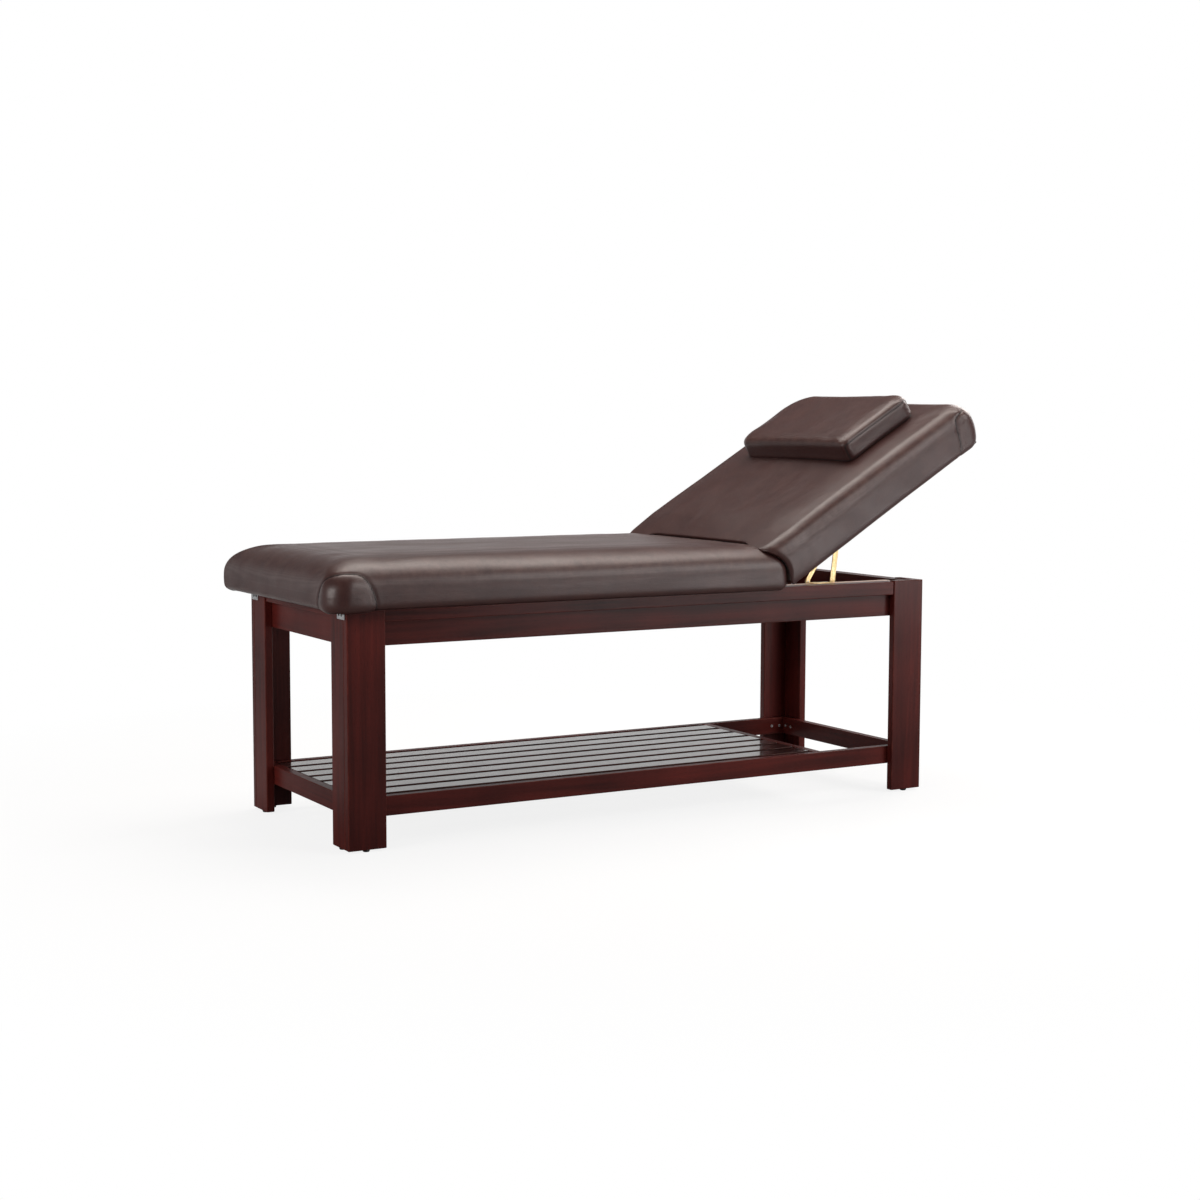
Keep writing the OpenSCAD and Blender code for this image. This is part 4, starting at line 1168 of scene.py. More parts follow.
# %% Sizes of the backrest cushion
BACK_U0, BACK_U1, BACK_LIP, BACK_TOP = 6 * MM, 723 * MM, 9 * MM, 133 * MM
BACK_SWOLLEN = BACK_TOP - SWELL / 2
BACK_EDGE, BACK_LIP_ROUND, BACK_FAR_SHARE = (38 * MM, 58 * MM), (14 * MM, 38 * MM), 0.4
BACK_CORNERS = (10 * MM, 40 * MM, 30 * MM, 10 * MM)
OVER_FROM, OVER_IN = 74 * MM, 40 * MM
UNDER_FROM, UNDER_LONG, UNDER_IN = 10 * MM, 62 * MM, 19 * MM
FULLER, FULLER_ACROSS = 4 * MM, 6 * MM
FULL_HEIGHT, FULL_ALONG = (60 * MM, 60 * MM), (10 * MM, 80 * MM)
back_box = (BACK_U0, BACK_U1, leg_low.y, leg_high.y)


def back_head(w):
    """The head end stands out furthest high up, and is drawn in towards the lip."""
    over = ramp(w, OVER_FROM, BACK_SWOLLEN - OVER_FROM)
    under = 1 - ramp(w, UNDER_FROM, UNDER_LONG)
    return OVER_IN * (1 - math.sqrt(1 - over ** EDGE_POWER)) + UNDER_IN * under * under


def back_lift(point, height):
    """The top leans a little to the near side: the foam is fuller along the far edge."""
    share = ramp(height, *FULL_HEIGHT) * ramp(point[0], *FULL_ALONG)
    across = 2 * (point[1] - back_box[2]) / (back_box[3] - back_box[2]) - 1
    return height + share * (FULLER + FULLER_ACROSS * across)


print("head end drawn in by", [round(back_head(w * MM), 4) for w in (9, 40, 74, 110, 131)])


# %% The foot end of the backrest
GAP, FOOT_ROUND, LEAST_REACH, SETTLE_ROUNDS = 5 * MM, 10 * MM, 4 * MM, 40
BACK_BOARD, BACK_FOOT_INSIDE, FIRST_GUESS = 21 * MM, 30 * MM, 30 * MM
LEAST_INWARD, MOST_TUCK, TUCK_REACH = 6 * MM, 21 * MM, 70 * MM


def leg_inset(z):
    """How far the sides of the leg cushion are drawn in at a height in the room."""
    share = ramp(z, LEG_TOP - LEG_EDGE[1], LEG_EDGE[1])
    return LEG_EDGE[0] * (1 - math.sqrt(max(0.0, 1 - share ** EDGE_POWER)))


def room_height(u, w):
    """The height in the room of a place u along the tilted backrest and w above its hinge line."""
    return hinge.z + u * math.sin(BACK_TILT) + w * math.cos(BACK_TILT)


def back_foot(w):
    """How far the foot end of the backrest reaches, at a height w above the hinge line. It stands
    a gap off the leg cushion, whose inset depends on the height that the answer gives, so the
    answer is settled in a few rounds."""
    u = FIRST_GUESS
    for _ in range(SETTLE_ROUNDS):
        end = leg_high.x - leg_inset(room_height(u, w)) + GAP - hinge.x
        u += 0.5 * ((end + w * math.sin(BACK_TILT)) / math.cos(BACK_TILT) - u)
    over = max(0.0, w - (BACK_SWOLLEN - FOOT_ROUND)) / FOOT_ROUND
    return max(u, LEAST_REACH) + FOOT_ROUND * (1 - math.sqrt(max(0.0, 1 - over * over)))


def tucked(point):
    """The foot end reaches into the room that the rounded corners of the leg cushion leave."""
    u, y, w = point
    inset = leg_inset(room_height(u, w))
    radius = CORNER + DOME_GROWTH * inset
    inward = max(LEAST_INWARD, min(y - leg_box[2], leg_box[3] - y) - inset)
    room = radius - math.sqrt(radius ** 2 - max(0.0, radius - inward) ** 2)
    nearness = 1 - ramp(u, back_foot(w), TUCK_REACH)
    return u - min(room, MOST_TUCK) * nearness * nearness


back_rings, back_held = profile(BACK_LIP, BACK_SWOLLEN, BACK_LIP_ROUND, BACK_EDGE, BACK_CORNERS,
                                back_foot, foot_share=0.0, far_share=BACK_FAR_SHARE,
                                head_in=back_head, board=BACK_BOARD, inside=BOARD_INSIDE,
                                foot_inside=BACK_FOOT_INSIDE)
print("backrest foot end at", [round(back_foot(w * MM), 4) for w in (9, 50, 90, 110, 129)])


# %% Sizes of the pillow
PILLOW_THICK, PILLOW_IN = 65 * MM, 1 * MM
PILLOW_EDGE, PILLOW_LIP_ROUND = (22 * MM, 22 * MM), (5 * MM, 10 * MM)
PILLOW_CORNERS = (20 * MM, 40 * MM, 74 * MM, 34 * MM)
pillow_points = solids("pillow_cover", TO_BACK)[0]
pillow_low, pillow_high = pillow_points.min(0), pillow_points.max(0)
pillow_box = (pillow_low[0] + PILLOW_IN, pillow_high[0] - PILLOW_IN,
              pillow_low[1] + PILLOW_IN, pillow_high[1] - PILLOW_IN)
pillow_rings, pillow_held = profile(pillow_low[2], pillow_low[2] + PILLOW_THICK - SWELL / 2,
                                    PILLOW_LIP_ROUND, PILLOW_EDGE, PILLOW_CORNERS,
                                    lambda w: pillow_box[0])
print("pillow box", [round(float(c), 4) for c in pillow_box])


# %% [markdown]
# ## Stuffing the cushions
# A real cover is cut a little smaller than its foam, so the foam presses it out until it is tight.
# The Cloth modifier does the same: the covers are blown up from inside with gravity off, while the
# part that is stapled to the board is held. How far a point may move is capped, so that the sizes
# stay true.

# %% Build the covers
def make_cover(name, box, rings, held, crown, reach, lift=lambda point, height: height, slide=None):
    """A cover as an object, with its measures kept for the seams. "lip" is the ring at the bottom
    of the lip, where the side that shows begins."""
    corners, faces, (ring_count, columns), steps = cushion_form(box, rings, crown, reach, lift)
    if slide:
        corners[:, 0] = [slide(p) for p in corners]
    mesh = bpy.data.meshes.new(name)
    mesh.from_pydata(corners.tolist(), [], faces)
    cover = put(name, mesh)
    cover.vertex_groups.new(name="held").add(list(range(held * columns)), 1.0, "REPLACE")
    side = next(k for k, r in enumerate(rings) if k > held and r[1][0] == 0.0)
    outer = corners[side * columns:(side + 1) * columns]
    run = np.linalg.norm(np.diff(np.vstack([outer, outer[:1]]), axis=0), axis=1)
    return {"cover": cover, "start": corners, "steps": steps, "rings": ring_count,
            "columns": columns, "held": held, "lip": held - 3,
            "edge_from": ring_count - EDGE_STEPS - 1, "heights": np.array([r[0] for r in rings]),
            "along": np.concatenate([[0], np.cumsum(run)])}


covers = {
    "leg": make_cover("leg_cushion", leg_box, leg_rings, leg_held, 4 * MM, 150 * MM, leg_lift),
    "back": make_cover("backrest_cushion", back_box, back_rings, back_held, 2 * MM, 150 * MM,
                       back_lift, tucked),
    "pillow": make_cover("pillow", pillow_box, pillow_rings, pillow_held, 2 * MM, 60 * MM)}
pillow = covers["pillow"]
print("corners in the covers:", {k: len(c["start"]) for k, c in covers.items()})


# %% Stuff the covers
STUFFING_PRESSURE, STUFFING_FRAMES, CLOTH_QUALITY = 4.0, 20, 5


def stuff(cover):
    """Sets a cover up to be blown out by its foam."""
    cloth = cover.modifiers.new("stuffing", "CLOTH")
    cloth.settings.quality = CLOTH_QUALITY
    cloth.settings.use_pressure = True
    cloth.settings.uniform_pressure_force = STUFFING_PRESSURE
    cloth.settings.effector_weights.gravity = 0
    cloth.settings.vertex_group_mass = "held"
    cloth.collision_settings.use_collision = False
    cloth.point_cache.frame_start = 1
    cloth.point_cache.frame_end = STUFFING_FRAMES


def vectors(items, field):
    """One vector of each item of a mesh, as the rows of an array."""
    values = np.zeros(len(items) * 3, np.float32)
    items.foreach_get(field, values)
    return values.reshape(-1, 3).astype(float)


for c in covers.values():
    stuff(c["cover"])
for step in range(1, STUFFING_FRAMES + 1):
    scene.frame_set(step)
depsgraph = bpy.context.evaluated_depsgraph_get()
moves = {k: vectors(c["cover"].evaluated_get(depsgraph).data.vertices, "co") - c["start"]
         for k, c in covers.items()}
for c in covers.values():
    c["cover"].modifiers.clear()
scene.frame_set(1)
pushes = {k: round(float(np.linalg.norm(m, axis=1).max()), 4) for k, m in moves.items()}
print("largest push, m:", pushes)


# %% Cap and even out the stuffing
def evened(mesh, values, times):
    """Averages a value with its neighbours, several times."""
    edges = np.zeros(len(mesh.edges) * 2, np.int32)
    mesh.edges.foreach_get("vertices", edges)
    a, b = edges.reshape(-1, 2).T
    share = np.bincount(np.concatenate([a, b]), minlength=len(values)).astype(float)[:, None]
    for _ in range(times):
        total = np.zeros_like(values)
        np.add.at(total, a, values[b])
        np.add.at(total, b, values[a])
        values = 0.5 * values + 0.5 * total / share
    return values


EVEN_ROUNDS, PILLOW_SHARE = 4, 0.5
FOOT_FROM, FOOT_FADE, FOOT_SHARE = 45 * MM, 60 * MM, 0.3
for key, c in covers.items():
    held_corners = c["held"] * c["columns"]
    caps = np.full(len(c["start"]), SWELL)
    caps[:held_corners] = 0
    if key == "back":
        off_foot = np.clip((c["start"][:, 0] - FOOT_FROM) / FOOT_FADE, 0, 1)
        caps *= FOOT_SHARE + (1 - FOOT_SHARE) * off_foot
    if key == "pillow":
        caps *= PILLOW_SHARE
    move = moves[key]
    length = np.linalg.norm(move, axis=1)
    move = move * np.minimum(1, caps / np.maximum(length, 1e-9))[:, None]
    move = evened(c["cover"].data, move, EVEN_ROUNDS)
    move[:held_corners] = 0
    c["final"] = c["start"] + move
    set_each(c["cover"].data.vertices, "co", c["final"])
    average = float(np.linalg.norm(move, axis=1).mean())
    print(key, "swells by", round(average / MM, 2), "mm on average")


# %% [markdown]
# ## Corner patches and their seams
# At the outer corners the leathercloth is cut out, and a rounded patch is sewn in: a low dome under
# an arched seam that runs from the lip, over the shoulder of the corner, and back to the lip. The
# seam is first drawn on the cover's own measures, how far along the side and how high, and then
# carved into the finer mesh as a narrow groove, with the patch standing slightly proud.

# %% Places on a cover
PATCHES = {
    "leg": [{"corner": "near_foot", "side": 102 * MM, "end": 70 * MM, "shift": 26 * MM,
             "high": 83 * MM, "square": 2.2},
            {"corner": "far_foot", "side": 101 * MM, "end": 0.0, "shift": 50 * MM,
             "high": 85 * MM, "square": 2.0}],
    "back": [{"corner": corner, "side": 72 * MM, "end": 72 * MM, "shift": 0.0,
              "high": 101 * MM, "square": 4.0} for corner in ("near_head", "far_head")]}


def corner_column(c, corner):
    """The column in the middle of a corner, and which way along the columns its long side runs."""
    long_steps, short_steps = c["steps"]
    return {"near_foot": (0, 1), "near_head": (long_steps, -1),
            "far_head": (long_steps + short_steps, 1),
            "far_foot": (2 * long_steps + short_steps, -1)}[corner]


def on_cover(c, along, height):
    """The point of the stuffed cover at a distance along the side and a height."""
    total = c["along"][-1]
    column = np.interp(along % total, c["along"], np.arange(c["columns"] + 1))
    row = np.interp(height, c["heights"][c["lip"]:], np.arange(c["lip"], c["rings"]))
    grid = c["final"][:c["rings"] * c["columns"]].reshape(c["rings"], c["columns"], 3)
    i, j = int(column) % c["columns"], min(int(row), c["rings"] - 2)
    k, fc, fr = (i + 1) % c["columns"], column - int(column), row - j
    return ((grid[j, i] * (1 - fc) + grid[j, k] * fc) * (1 - fr)
            + (grid[j + 1, i] * (1 - fc) + grid[j + 1, k] * fc) * fr)


print("corner patches:", {k: len(patches) for k, patches in PATCHES.items()})


# %% Draw the arches
ARCH_POINTS, LEFT_OUT = 220, 3.0


def arch(c, patch):
    """Points along the seam of one corner patch, from the end face to the long side."""
    column, way = corner_column(c, patch["corner"])
    middle, low = c["along"][column], c["heights"][c["lip"]] + 1 * MM
    points = []
    for t in np.linspace(math.pi, 0, ARCH_POINTS):
        side, up = math.cos(t), abs(math.sin(t)) ** (2 / patch["square"])
        reach = (patch["side"] - patch["shift"]) if side > 0 else (patch["end"] + patch["shift"])
        run = patch["shift"] + math.copysign(abs(side) ** (2 / patch["square"]), side) * reach
        points.append(on_cover(c, middle + way * run, low + patch["high"] * up))
    return np.array(points)


def inside_patch(c, patch):
    """How far inside the patch each corner of the cover lies: 1 at its heart, 0 on the seam. The
    part under the board is left out."""
    column, way = corner_column(c, patch["corner"])
    total = c["along"][-1]
    run = (c["along"][:-1] - c["along"][column] + total / 2) % total - total / 2
    run = run * way - patch["shift"]
    reach = np.where(run > 0, patch["side"] - patch["shift"], patch["end"] + patch["shift"])
    across = np.abs(run / reach) ** patch["square"]
    up = np.clip((c["heights"] - c["heights"][c["lip"]]) / patch["high"], 0, LEFT_OUT)
    up = up ** patch["square"]
    up[:c["lip"]] = LEFT_OUT
    inside = np.full(len(c["final"]), -1.0)
    inside[:c["rings"] * c["columns"]] = (1 - across[None, :] - up[:, None]).ravel()
    return np.maximum(inside, -1.0)


for key, patches in PATCHES.items():
    c = covers[key]
    c["arches"] = [arch(c, patch) for patch in patches]
    inside = np.maximum.reduce([inside_patch(c, patch) for patch in patches])
    point_data(c["cover"], "patch", "FLOAT", inside)
    first = c["arches"][0]
    length = float(np.linalg.norm(np.diff(first, axis=0), axis=1).sum())
    print(key, "seam length", round(length, 3), "m, ends", np.round(first[[0, -1]], 3).tolist())


# %% Draw the pillow's seams
PANEL_HIGH, PANEL_ROUND, BASE_HIGH = 48 * MM, 10 * MM, 4 * MM
RISE_POINTS, ROUND_POINTS, RUN_POINTS = 16, 8, 200


def level_line(c, height, first, last, points=300):
    """A line along a cover at one height, between two places along its sides."""
    return np.array([on_cover(c, a, height) for a in np.linspace(first, last, points)])


def panel(c, first, last):
    """The seam of a side panel: up one corner of the pillow, along the side and down the next."""
    turns = [math.radians(90 * k / ROUND_POINTS) for k in range(ROUND_POINTS + 1)]
    low, high = c["heights"][0] + BASE_HIGH, c["heights"][0] + PANEL_HIGH
    up = [(first, h) for h in np.linspace(low, high - PANEL_ROUND, RISE_POINTS)[:-1]]
    up += [(first + PANEL_ROUND * (1 - math.cos(a)), high - PANEL_ROUND * (1 - math.sin(a)))
           for a in turns]
    down = [(first + last - a, h) for a, h in up[::-1]]
    along = [(a, high) for a in np.linspace(up[-1][0], down[0][0], RUN_POINTS)[1:-1]]
    return np.array([on_cover(c, a, h) for a, h in up + along + down])


long_steps, short_steps = pillow["steps"]
panel_ends = [(0.0, pillow["along"][long_steps]),
              (pillow["along"][long_steps + short_steps],
               pillow["along"][2 * long_steps + short_steps])]
pillow["panels"] = [panel(pillow, first, last) for first, last in panel_ends]
pillow["base"] = level_line(pillow, pillow["heights"][0] + BASE_HIGH, 0.0, pillow["along"][-1],
                            401)[:-1]
# The ridge mask peaks in the middle of each soft edge; there the leathercloth gets its rubbed tone
# and painted highlight.
for c in covers.values():
    ridge = np.zeros(len(c["final"]))
    for j in range(EDGE_STEPS + 1):
        first = (c["edge_from"] + j) * c["columns"]
        ridge[first:first + c["columns"]] = math.sin(math.pi * j / EDGE_STEPS)
    point_data(c["cover"], "ridge", "FLOAT", ridge)
print("pillow side panels:", len(pillow["panels"]), "- points in each:", len(pillow["panels"][0]))


# %% [markdown]
# ## Fine mesh, grooves and small unevenness
# One round of subdivision makes the covers smooth enough to carve. Every corner near a seam moves
# in along its normal, deepest on the seam, and the leathercloth beside it is lifted a little, as it
# is where it folds under. Broad, very shallow waves keep the reflections from looking machined.

# %% Refine the covers
def refine(cover):
    """Subdivides once and takes the result as the cover's own mesh. The face over the board has
    hundreds of corners, which subdivides very slowly, so it is taken off and put back after."""
    shape = bmesh.new()
    shape.from_mesh(cover.data)
    bmesh.ops.delete(shape, geom=[f for f in shape.faces if len(f.verts) > 4], context="FACES_ONLY")
    shape.to_mesh(cover.data)
    shape.free()
    modifier = cover.modifiers.new("fine", "SUBSURF")
    modifier.levels = modifier.render_levels = 1
    depsgraph = bpy.context.evaluated_depsgraph_get()
    mesh = bpy.data.meshes.new_from_object(cover.evaluated_get(depsgraph),
                                           preserve_all_data_layers=True, depsgraph=depsgraph)
    cover.modifiers.clear()
    shape = bmesh.new()
    shape.from_mesh(mesh)
    bmesh.ops.holes_fill(shape, edges=[e for e in shape.edges if e.is_boundary], sides=0)
    bmesh.ops.recalc_face_normals(shape, faces=shape.faces)
    shape.to_mesh(mesh)
    shape.free()
    old = cover.data
    cover.data = mesh
    bpy.data.meshes.remove(old)


for c in covers.values():
    refine(c["cover"])
print("faces after subdivision:", {k: len(c["cover"].data.polygons) for k, c in covers.items()})


# %% Carve the covers
GROOVE_WIDTH, SEAM_SHADE_WIDTH = 2.8 * MM, 2.2 * MM
BESIDE, BESIDE_WIDTH, BESIDE_LIFT = 8.5 * MM, 4.5 * MM, 0.25
BROAD_WAVE, SMALL_WAVE, SMALL_SHARE = 11, 29, 0.4


def carve(cover, paths, depth, dome=0.0, waves=0.5 * MM, dimples=()):
    """Cuts the seams into a cover, domes its patches, gives it soft waves, and keeps a mask of the
    seams for painted shade.
    """
    mesh = cover.data
    places, normals = vectors(mesh.vertices, "co"), vectors(mesh.vertex_normals, "vector")
    points = [p for path in paths for p in path]
    tree = KDTree(len(points))
    for number, point in enumerate(points):
        tree.insert(point, number)
    tree.balance()
    distance = np.array([tree.find(p)[2] for p in places])
    lift = -depth * np.exp(-(distance / GROOVE_WIDTH) ** 2)
    lift += BESIDE_LIFT * depth * np.exp(-((distance - BESIDE) / BESIDE_WIDTH) ** 2)
    if dome:
        inside = np.zeros(len(places), np.float32)
        mesh.attributes["patch"].data.foreach_get("value", inside)
        lift += dome * (1 - (1 - np.clip(inside, 0, 1)) ** 2)
    for centre, radii, sunk in dimples:
        lift -= sunk * np.exp(-(((places - centre) / radii) ** 2).sum(1))
    lift += waves * np.array([noise.noise(Vector(p) * BROAD_WAVE)
                              + SMALL_SHARE * noise.noise(Vector(p) * SMALL_WAVE) for p in places])
    set_each(mesh.vertices, "co", places + normals * lift[:, None])
    mesh.update()
    # The seam mask is where the leathercloth gets painted shade along each groove.
    point_data(cover, "seam", "FLOAT", np.exp(-(distance / SEAM_SHADE_WIDTH) ** 2))


leg, back = covers["leg"], covers["back"]
DOMES = {"leg": 6.0 * MM, "back": 1.5 * MM}
carve(leg["cover"], leg["arches"], 1.5 * MM, DOMES["leg"])
PINCH_AT, PINCH_WIDE, PINCH_DEEP = 0.86, 7 * MM, 2.0 * MM
PULL_U, PULL_W, PULL_WIDE, PULL_DEEP = 170 * MM, 101 * MM, (190 * MM, 40 * MM, 12 * MM), 1.8 * MM
pinches = [(path[int(ARCH_POINTS * PINCH_AT)], PINCH_WIDE, PINCH_DEEP) for path in back["arches"]]
pulls = [((PULL_U, y, PULL_W), PULL_WIDE, PULL_DEEP) for y in back_box[2:]]
carve(back["cover"], back["arches"], 1.0 * MM, DOMES["back"], dimples=pinches + pulls)
carve(pillow["cover"], pillow["panels"] + [pillow["base"]], 1.1 * MM, waves=0.8 * MM)
print("pinched at", [np.round(p[0], 3).tolist() for p in pinches])


# %% [markdown]
# ## Thread and folds in the seams
# In each groove lies the fold where two pieces of leathercloth meet, drawn as a cord much darker
# than the leathercloth: painted shade along the seam. Above each side panel of the pillow runs a
# row of topstitching. Both follow the surface, so their paths are laid on the finished covers
# first. A tree then draws the fold as a thin round cord, and sets the stitches along the path at an
# even spacing, each turned to its path.

# %% Seam trees
def fold_tree():
    """A round cord along a path."""
    tree, given, end = growing_tree("seam_shade_fold", [("Radius", NUMBER, 0.0008)])
    path = add(tree, "GeometryNodeMeshToCurve", {0: given["Geometry"]})
    circle = add(tree, "GeometryNodeCurvePrimitiveCircle",
                 {"Resolution": 6, "Radius": given["Radius"]})
    tube = add(tree, "GeometryNodeCurveToMesh", {
        "Curve": path.outputs[0], "Profile Curve": circle.outputs[0], "Fill Caps": True})
    return close_tree(tree, end, tube.outputs[0], given["Finish"])


def stitch_tree():
    """Stitches along a path, Spacing apart, each turned to the path."""
    tree, given, end = growing_tree("stitches", [("Stitch", FORM, None),
                                                 ("Spacing", NUMBER, 0.005)])
    path = add(tree, "GeometryNodeMeshToCurve", {0: given["Geometry"]})
    points = add(tree, "GeometryNodeCurveToPoints",
                 {"Curve": path.outputs[0], "Length": given["Spacing"]}, mode="LENGTH")
    turned = add(tree, "FunctionNodeAlignRotationToVector",
                 {"Vector": points.outputs["Tangent"]}, axis="Z")
    placed = copies(tree, points.outputs["Points"], given["Stitch"], Rotation=turned.outputs[0])
    return close_tree(tree, end, made_real(tree, placed), given["Finish"])


fold, stitches = fold_tree(), stitch_tree()
print("seam trees:", fold.name, "and", stitches.name)


# %% Draw the folds and the stitches
FOLD_RADIUS, FOLD_LIFT = 0.6 * MM, 0.1 * MM
STITCH_SPACING, STITCH_LIFT, ROW_ABOVE, ROW_SHORT = 5 * MM, 0.2 * MM, 6 * MM, 8 * MM
STITCH_OUTLINE = [(0, -1.7), (0.3, -1.5), (0.45, -0.8), (0.5, 0), (0.45, 0.8), (0.3, 1.5), (0, 1.7)]
one_stitch = hidden_form("one_stitch", lathe([(r * MM, z * MM) for r, z in STITCH_OUTLINE], 6))


def lay_on(cover, path, lift):
    """Moves a path onto the cover, lifted by a little along its normal."""
    places = vectors(cover.data.vertices, "co").tolist()
    surface = BVHTree.FromPolygons(places, [tuple(p.vertices) for p in cover.data.polygons])
    laid = []
    for point in path:
        spot, normal, _, _ = surface.find_nearest(Vector(point))
        laid.append(spot + normal * lift)
    return laid


def draw_seams(name, cover, paths, closed=0):
    """The folds of a cover's seams, as one mesh. The last closed paths run back to their start."""
    points, links = [], []
    for number, path in enumerate(paths):
        first, rounds = len(points), number >= len(paths) - closed
        points += lay_on(cover, path, FOLD_LIFT)
        count = len(points) - first
        steps = count if rounds else count - 1
        links += [(first + k, first + (k + 1) % count) for k in range(steps)]
    return grow(name, carrier(name + "_path", points, links), fold,
                {"Radius": FOLD_RADIUS, "Finish": SEAM_SHADE_CORD})


# Dark cords laid in the grooves: painted shade along the seams.
leg_seams = draw_seams("leg_cushion_seams", leg["cover"], leg["arches"])
back_seams = draw_seams("backrest_seams", back["cover"], back["arches"])
pillow_seams = draw_seams("pillow_seams", pillow["cover"], pillow["panels"] + [pillow["base"]], 1)
rows, row_links = [], []
row_height = pillow["heights"][0] + PANEL_HIGH + ROW_ABOVE
for first, last in panel_ends:
    row = level_line(pillow, row_height, first + ROW_SHORT, last - ROW_SHORT)
    laid = lay_on(pillow["cover"], row, STITCH_LIFT)
    row_links += [(len(rows) + k, len(rows) + k + 1) for k in range(len(laid) - 1)]
    rows += laid
pillow_stitches = grow("pillow_stitches", carrier("topstitch_path", rows, row_links), stitches,
                       {"Stitch": one_stitch, "Spacing": STITCH_SPACING, "Finish": THREAD})
bpy.data.objects.remove(one_stitch)


# %% [markdown]
# ## Hanging the cushions on the bed
# The backrest and the pillow were made level, so they are turned to the tilt of the backrest here.
# The leg cushion is fixed and the pillow rides on its own body. The backrest cushion and its seams
# are turned once and ride on no body.

def finish_cover(cover, nodes_replaced, place):
    """Puts a cover in its place, with its leathercloth and smooth shading, and hides the nodes it
    replaces.
    """
    cover.data.transform(place)
    cover.data.materials.clear()
    cover.data.materials.append(LEATHER)
    cover.data.shade_smooth()
    cover.vertex_groups.clear()
    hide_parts(*nodes_replaced)


finish_cover(leg["cover"], ["foot_cushion", "foot_foam"], LEVEL)
finish_cover(back["cover"], ["back_cushion", "back_foam"], TO_BACK)
finish_cover(pillow["cover"], ["pillow_cover", "pillow_base", "pillow_foam"], TO_BACK)
for mesh in (back_seams, pillow_seams, pillow_stitches):
    mesh.transform(TO_BACK)
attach(leg["cover"], "bed_frame")
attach(pillow["cover"], "pillow")
finish_piece("leg_cushion_seams", leg_seams, None, [], "bed_frame")
finish_piece("pillow_seams", pillow_seams, None, [], "pillow")
finish_piece("pillow_stitches", pillow_stitches, None, [], "pillow")
back_seam_piece = finish_piece("backrest_seams", back_seams, None, [], None)

for piece in (back["cover"], back_seam_piece):
    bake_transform(piece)


# %% [markdown]
# ## What stays inside
# The dowels are buried in the rails. They keep their own shape and only get beech, so that nothing
# is left in a plain colour if the bed is opened up.

# %% Finish the dowels
for held_slot in nodes["dowels"].material_slots:
    held_slot.material = BEECH
print("nodes still showing:", sorted(n for n, o in nodes.items() if not o.hide_render))


# %% [markdown]
# ## Studio
# The photograph was taken on white, under big soft lamps: one overhead that draws the pale band
# along the cushions' edges, one from the left, one from behind on the right, and two from the near
# side, of which the low one lights the upright faces. The floor is white and catches the shadow.
# Its brightness where the camera looks past the bed comes from its own colour, not from more light
# on the bed.

# %% Floor
FLOOR_HALF, CLEAR_FROM, CLEAR_TO = 14.0, 1.1, 2.2
WHITE = (1, 1, 1, 1)


def floor_finish():
    """White floor that takes shadows near the bed and fades to plain white away from it. Gloss on
    the bed shows that white too, but only behind the bed and out to its right. Little light comes
    back up from it, and from below the camera looks through it."""
    material, tree, output = blank_material("studio_floor")
    place = object_place(tree)
    far = add(tree, "ShaderNodeVectorMath", {0: place}, operation="LENGTH").outputs["Value"]
    cloud = noise_at(tree, place, 3.0)
    rays = add(tree, "ShaderNodeLightPath").outputs
    paper = blend_colour(tree, cloud, (0.90, 0.90, 0.90, 1), (0.93, 0.93, 0.93, 1))
    bounce = blend_colour(tree, cloud, (0.25, 0.24, 0.24, 1), (0.29, 0.28, 0.28, 1))
    lit = add(tree, "ShaderNodeBsdfDiffuse",
              {"Color": blend_colour(tree, rays["Is Camera Ray"], bounce, paper)})
    white = add(tree, "ShaderNodeEmission", {"Color": WHITE, "Strength": 1.0})
    mirrored = maths(tree, "MAXIMUM", rays["Is Glossy Ray"], rays["Is Transmission Ray"])
    x, y, _ = add(tree, "ShaderNodeSeparateXYZ", {0: place}).outputs
    behind = times(tree, spread(tree, y, 0.0, 1.0), spread(tree, x, -1.2, 0.6, 0.3))
    right = times(tree, spread(tree, y, -0.6, -1.6), spread(tree, x, 0.9, 2.3))
    shown = times(tree, mirrored, maths(tree, "MAXIMUM", behind, right))
    clear = times(tree, rays["Is Camera Ray"], spread(tree, far, CLEAR_FROM, CLEAR_TO, 0.85, 1.0))
    mix = add(tree, "ShaderNodeMixShader", {0: maths(tree, "MAXIMUM", clear, shown),
                                            1: lit.outputs[0], 2: white.outputs[0]})
    below = times(tree, add(tree, "ShaderNodeNewGeometry").outputs["Backfacing"],
                  rays["Is Camera Ray"])
    open_floor = add(tree, "ShaderNodeBsdfTransparent", {"Color": WHITE})
    both = add(tree, "ShaderNodeMixShader",
               {0: below, 1: mix.outputs[0], 2: open_floor.outputs[0]})
    tree.links.new(both.outputs[0], output.inputs[0])
    return material


floor_mesh = bpy.data.meshes.new("studio_floor")
corners = [(x * FLOOR_HALF, y * FLOOR_HALF, 0) for x, y in ((-1, -1), (1, -1), (1, 1), (-1, 1))]
floor_mesh.from_pydata(corners, [], [(0, 1, 2, 3)])
floor_mesh.materials.append(floor_finish())
floor = put("studio_floor", floor_mesh)
print("floor", 2 * FLOOR_HALF, "m wide")


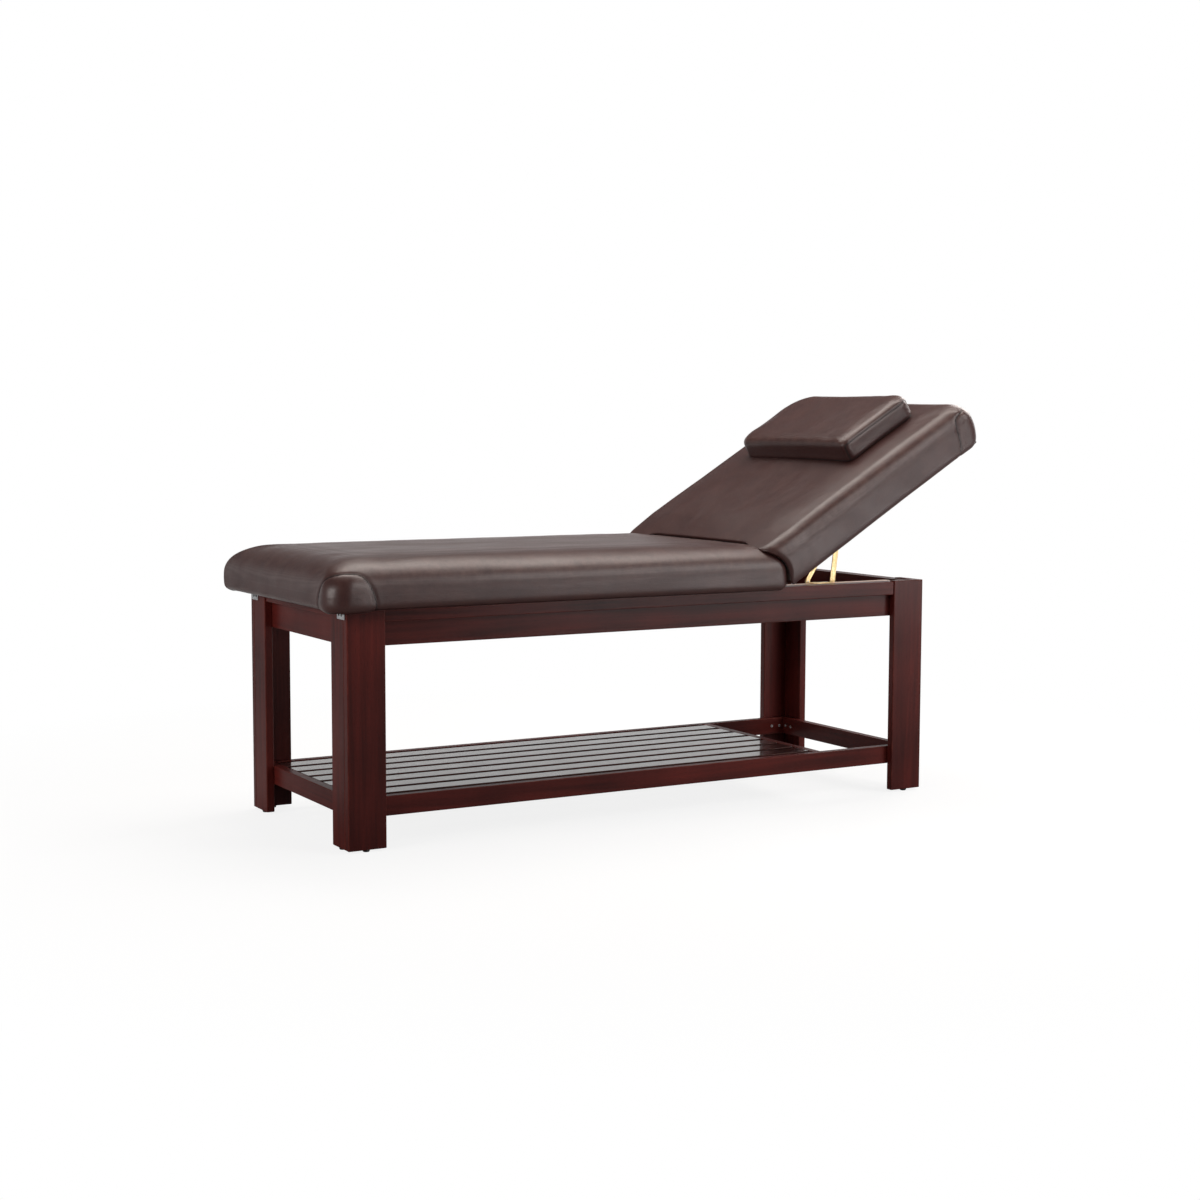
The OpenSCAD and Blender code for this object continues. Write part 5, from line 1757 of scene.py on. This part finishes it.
# %% Surroundings
def surroundings(dim, backdrop):
    """The room: plain white where the camera looks, and for the bed a lit backdrop low down behind
    it in a dim room."""
    world = bpy.data.worlds.new("studio")
    scene.world = world
    world.use_nodes = True
    tree = world.node_tree
    tree.nodes.clear()
    output = tree.nodes.new("ShaderNodeOutputWorld")
    rays = add(tree, "ShaderNodeLightPath").outputs
    way = add(tree, "ShaderNodeTexCoord").outputs["Generated"]
    x, y, z = add(tree, "ShaderNodeSeparateXYZ", {0: way}).outputs
    beside = times(tree, spread(tree, y, -0.2, 0.4), spread(tree, x, -0.5, 0.3, 0.3))
    behind = times(tree, spread(tree, z, 0.08, 0.32, 1.0, 0.0), beside)
    level = plus(tree, times(tree, behind, backdrop - dim), dim)
    white = add(tree, "ShaderNodeBackground", {"Color": WHITE, "Strength": 1.0})
    room = add(tree, "ShaderNodeBackground", {"Color": WHITE, "Strength": level})
    mix = add(tree, "ShaderNodeMixShader",
              {0: rays["Is Camera Ray"], 1: room.outputs[0], 2: white.outputs[0]})
    tree.links.new(mix.outputs[0], output.inputs[0])


surroundings(dim=0.12, backdrop=1.3)
print("surroundings:", scene.world.name)


# %% Lamps
def softbox(name, at, aim, size, power, tone):
    """A square soft lamp aimed at a point."""
    light = bpy.data.lights.new(name, "AREA")
    light.shape = "RECTANGLE"
    light.size, light.size_y = size
    light.energy = power
    light.color = tone
    lamp = put(name, light)
    lamp.location = at
    lamp.rotation_euler = (Vector(aim) - Vector(at)).to_track_quat("-Z", "Y").to_euler()
    lamp.visible_camera = False


LAMPS = (  # name, place, aim, size in metres, watts, tone
    ("lamp_over", (0.5, 0.4, 3.0), (0.1, 0, 0.5), (3.2, 1.1), 80, (1.0, 0.93, 0.87)),
    ("lamp_left", (-4.1, -0.9, 1.35), (-0.3, 0, 0.5), (1.8, 1.5), 72, (1.0, 0.95, 0.92)),
    ("lamp_right", (3.3, 1.0, 2.5), (0.5, 0, 0.8), (2.0, 1.7), 80, (1.0, 0.95, 0.92)),
    ("lamp_front", (2.9, -3.6, 3.0), (0.5, 0, 0.6), (2.8, 2.0), 110, (1.0, 0.97, 0.95)),
    ("lamp_low", (2.3, -3.3, 0.45), (0.6, -0.35, 0.75), (2.4, 0.6), 30, (1.0, 0.97, 0.96)))
for lamp in LAMPS:
    softbox(*lamp)
scene.view_settings.view_transform = "Standard"
print("lamps set:", len(LAMPS))


# %% [markdown]
# ## Finish
# The view layer is brought up to date, so that every piece stands at its place.

# %% Finish
bpy.context.view_layer.update()
